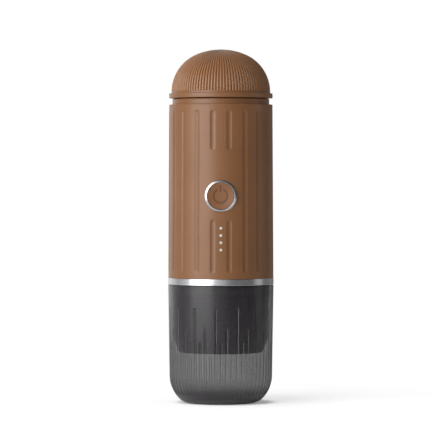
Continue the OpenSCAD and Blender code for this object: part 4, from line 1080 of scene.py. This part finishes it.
def wall_point(height):
    """Outside of the cup's wall at a height: it widens evenly from the lower corner to the rim."""
    widening, rise = CUP_RADIUS - CORNER_RADIUS, CUP_TOP - CORNER_HEIGHT
    radius = CORNER_RADIUS + widening * (height - CORNER_HEIGHT) / rise
    return np.stack([radius, height], axis=-1)


def corner_point(turn, arc):
    """Point of the lower corner, turn radians below the level of its centre, on an arc about that centre."""
    return np.stack([corner_centre + arc * np.cos(turn), CORNER_HEIGHT - arc * np.sin(turn)], axis=-1)


wall_heights = np.concatenate([np.subtract.outer(GROOVE_TOPS, TOP_STEPS).ravel(), PLAIN_HEIGHTS])
wall_heights = np.unique(np.round(wall_heights, 5))
foot_turns, end_turns = np.arange(FOOT_ANGLE, GROOVE_END_TURNS[0], -2), np.arange(*GROOVE_END_TURNS, -0.75)
corner_turns = np.radians(np.concatenate([foot_turns, end_turns, np.arange(GROOVE_END_TURNS[1], -1, -3)]))
foot_end, foot_next = corner_point(np.radians([FOOT_ANGLE, FOOT_TANGENT]), CORNER_ARC)
foot_corners = [(POLE_RING, 0), (FOOT_FLAT, 0), foot_end, foot_next]
foot_blend = rounded(foot_corners, [0, FOOT_BLEND, 0, 0], steps=8)[:-2]
inner_rim = CUP_RADIUS - CUP_WALL
below_rim = CUP_TOP - RIM_REACH
rim = rounded(
    [wall_point(below_rim), wall_point(CUP_TOP), (inner_rim, CUP_TOP), (inner_rim, below_rim)],
    np.array([0, 0.5, 0.7, 0]) * MM,
)[1:-1]
floor_turn = math.asin((CORNER_HEIGHT - CUP_FLOOR) / (CORNER_ARC - CUP_WALL))
inner_wall = wall_point(INNER_HEIGHTS) - [CUP_WALL, 0]
inner_corner = corner_point(np.radians(np.arange(0, math.degrees(floor_turn), 4)), CORNER_ARC - CUP_WALL)
inner_floor = np.stack([FLOOR_RADII, np.full(len(FLOOR_RADII), CUP_FLOOR)], axis=1)
outer_part = np.concatenate([corner_point(corner_turns, CORNER_ARC), wall_point(wall_heights)])
outline = np.concatenate([foot_blend, outer_part, rim, inner_wall, inner_corner, inner_floor])
print(len(outline), "rows from the cup's foot over its rim to its floor")


# %% Grooves of the cup
def groove_value(sunk):
    """1 on a groove's floor, near -1 on its sides, 0 outside: 2 s^12 - 1 + (1 - s)^4 of the sunk share s."""
    return 2 * sunk**12 - 1 + (1 - sunk) ** 4


half_pitch = np.pi / GROOVES
side = GROOVE_COLUMNS / CUP_RADIUS
in_groove = np.concatenate([[-half_pitch], -side[::-1], [0], side])
cup_columns = (np.arange(GROOVES)[:, None] * 2 * half_pitch + GROOVE_PHASE + in_groove).ravel()
number = np.repeat(np.arange(GROOVES), len(in_groove))
across = np.tile(in_groove, GROOVES)

part_radius, part_height = outer_part.T
turned_by = np.arctan2(CORNER_HEIGHT - part_height, part_radius - corner_centre)
on_wall = part_height >= CORNER_HEIGHT
along = np.where(on_wall, part_height, CORNER_HEIGHT - CORNER_ARC * turned_by)[:, None]
groove_low = CORNER_HEIGHT - CORNER_ARC * GROOVE_WRAP + GROOVE_WIDTH / 2
groove_high = GROOVE_TOPS[number % len(GROOVE_TOPS)] - GROOVE_WIDTH / 2
past = np.maximum(np.maximum(groove_low - along, along - groove_high), 0)
distance = np.hypot(across * part_radius[:, None], past)
cut = channel_depth(distance, GROOVE_WIDTH, GROOVE_DEPTH, GROOVE_EDGE)
sunk = np.minimum(cut / GROOVE_DEPTH, 1)
rows = carried_round(outline, cup_columns)
skin = slice(len(foot_blend), len(foot_blend) + len(outer_part))
tilt_down = np.maximum(turned_by, 0)[:, None]
level, drop = np.cos(tilt_down), np.broadcast_to(-np.sin(tilt_down), cut.shape)
normal = np.stack([level * np.cos(cup_columns), level * np.sin(cup_columns), drop], axis=-1)
rows[skin] -= cut[..., None] * normal
points, faces = with_poles(rows, (0, 0, 0), (0, 0, CUP_FLOOR))
outer, groove = np.zeros(rows.shape[:2]), np.zeros(rows.shape[:2])
outer[: skin.stop + len(rim) // 2] = 1
groove[skin] = groove_value(sunk)
outer, groove = np.append(outer, [1, 0]), np.append(groove, [0, 0])
new_piece("smoky_cup", points, faces, "cup", smoke, "smoke_plastic", "cup", outer=outer, groove=groove)

# %% Brew head
brew_low, brew_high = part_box("brew_head")
BREW_RADIUS = brew_high.x
BREW_SKIRT = BREW_RADIUS + 2.2 * MM
BREW_LOW_RADIUS = BREW_RADIUS - 2.0 * MM
BREW_TAPER = 9.5 * MM
BREW_TOP = brew_high.z + 0.25 * MM
SPOUT = (3.3 * MM, 5.1 * MM)
SPOUT_RECESS = 2.5 * MM
RIM_WIDTH = 4.0 * MM
RIM_BEVEL = 1 * MM
HEAD_BORE = 23.8 * MM
BASKET_SEAT = 59.25 * MM
WELL_RADIUS = 19.0 * MM
WELL_HEIGHT = brew_low.z + 5 * MM
FUNNEL = 2.0 * MM
rim_inside = BREW_LOW_RADIUS - RIM_WIDTH
outline = rounded(
    [
        (SPOUT[0], brew_low.z), (SPOUT[1], brew_low.z), (SPOUT[1], brew_low.z + SPOUT_RECESS),
        (rim_inside - RIM_BEVEL, brew_low.z + SPOUT_RECESS), (rim_inside, brew_low.z),
        (BREW_LOW_RADIUS, brew_low.z), (BREW_SKIRT, brew_low.z + BREW_TAPER), (BREW_SKIRT, BREW_TOP),
        (HEAD_BORE, BREW_TOP), (HEAD_BORE, BASKET_SEAT),
        (WELL_RADIUS, BASKET_SEAT), (WELL_RADIUS, WELL_HEIGHT + FUNNEL), (SPOUT[0], WELL_HEIGHT),
    ],
    np.array([0.4, 0.4, 0.4, 0.3, 0.3, 1.0, 8.0, 0.1, 0.3, 0.1, 0.2, 0.3, 0.3]) * MM,
)
rows = carried_round(outline, even_angles(200))
dark_plastic = slot_finish["dark_plastic"]
new_piece("brew_drum", rows, as_ring(rows), "brew_head", dark_plastic, "dark_plastic", "brew_head")
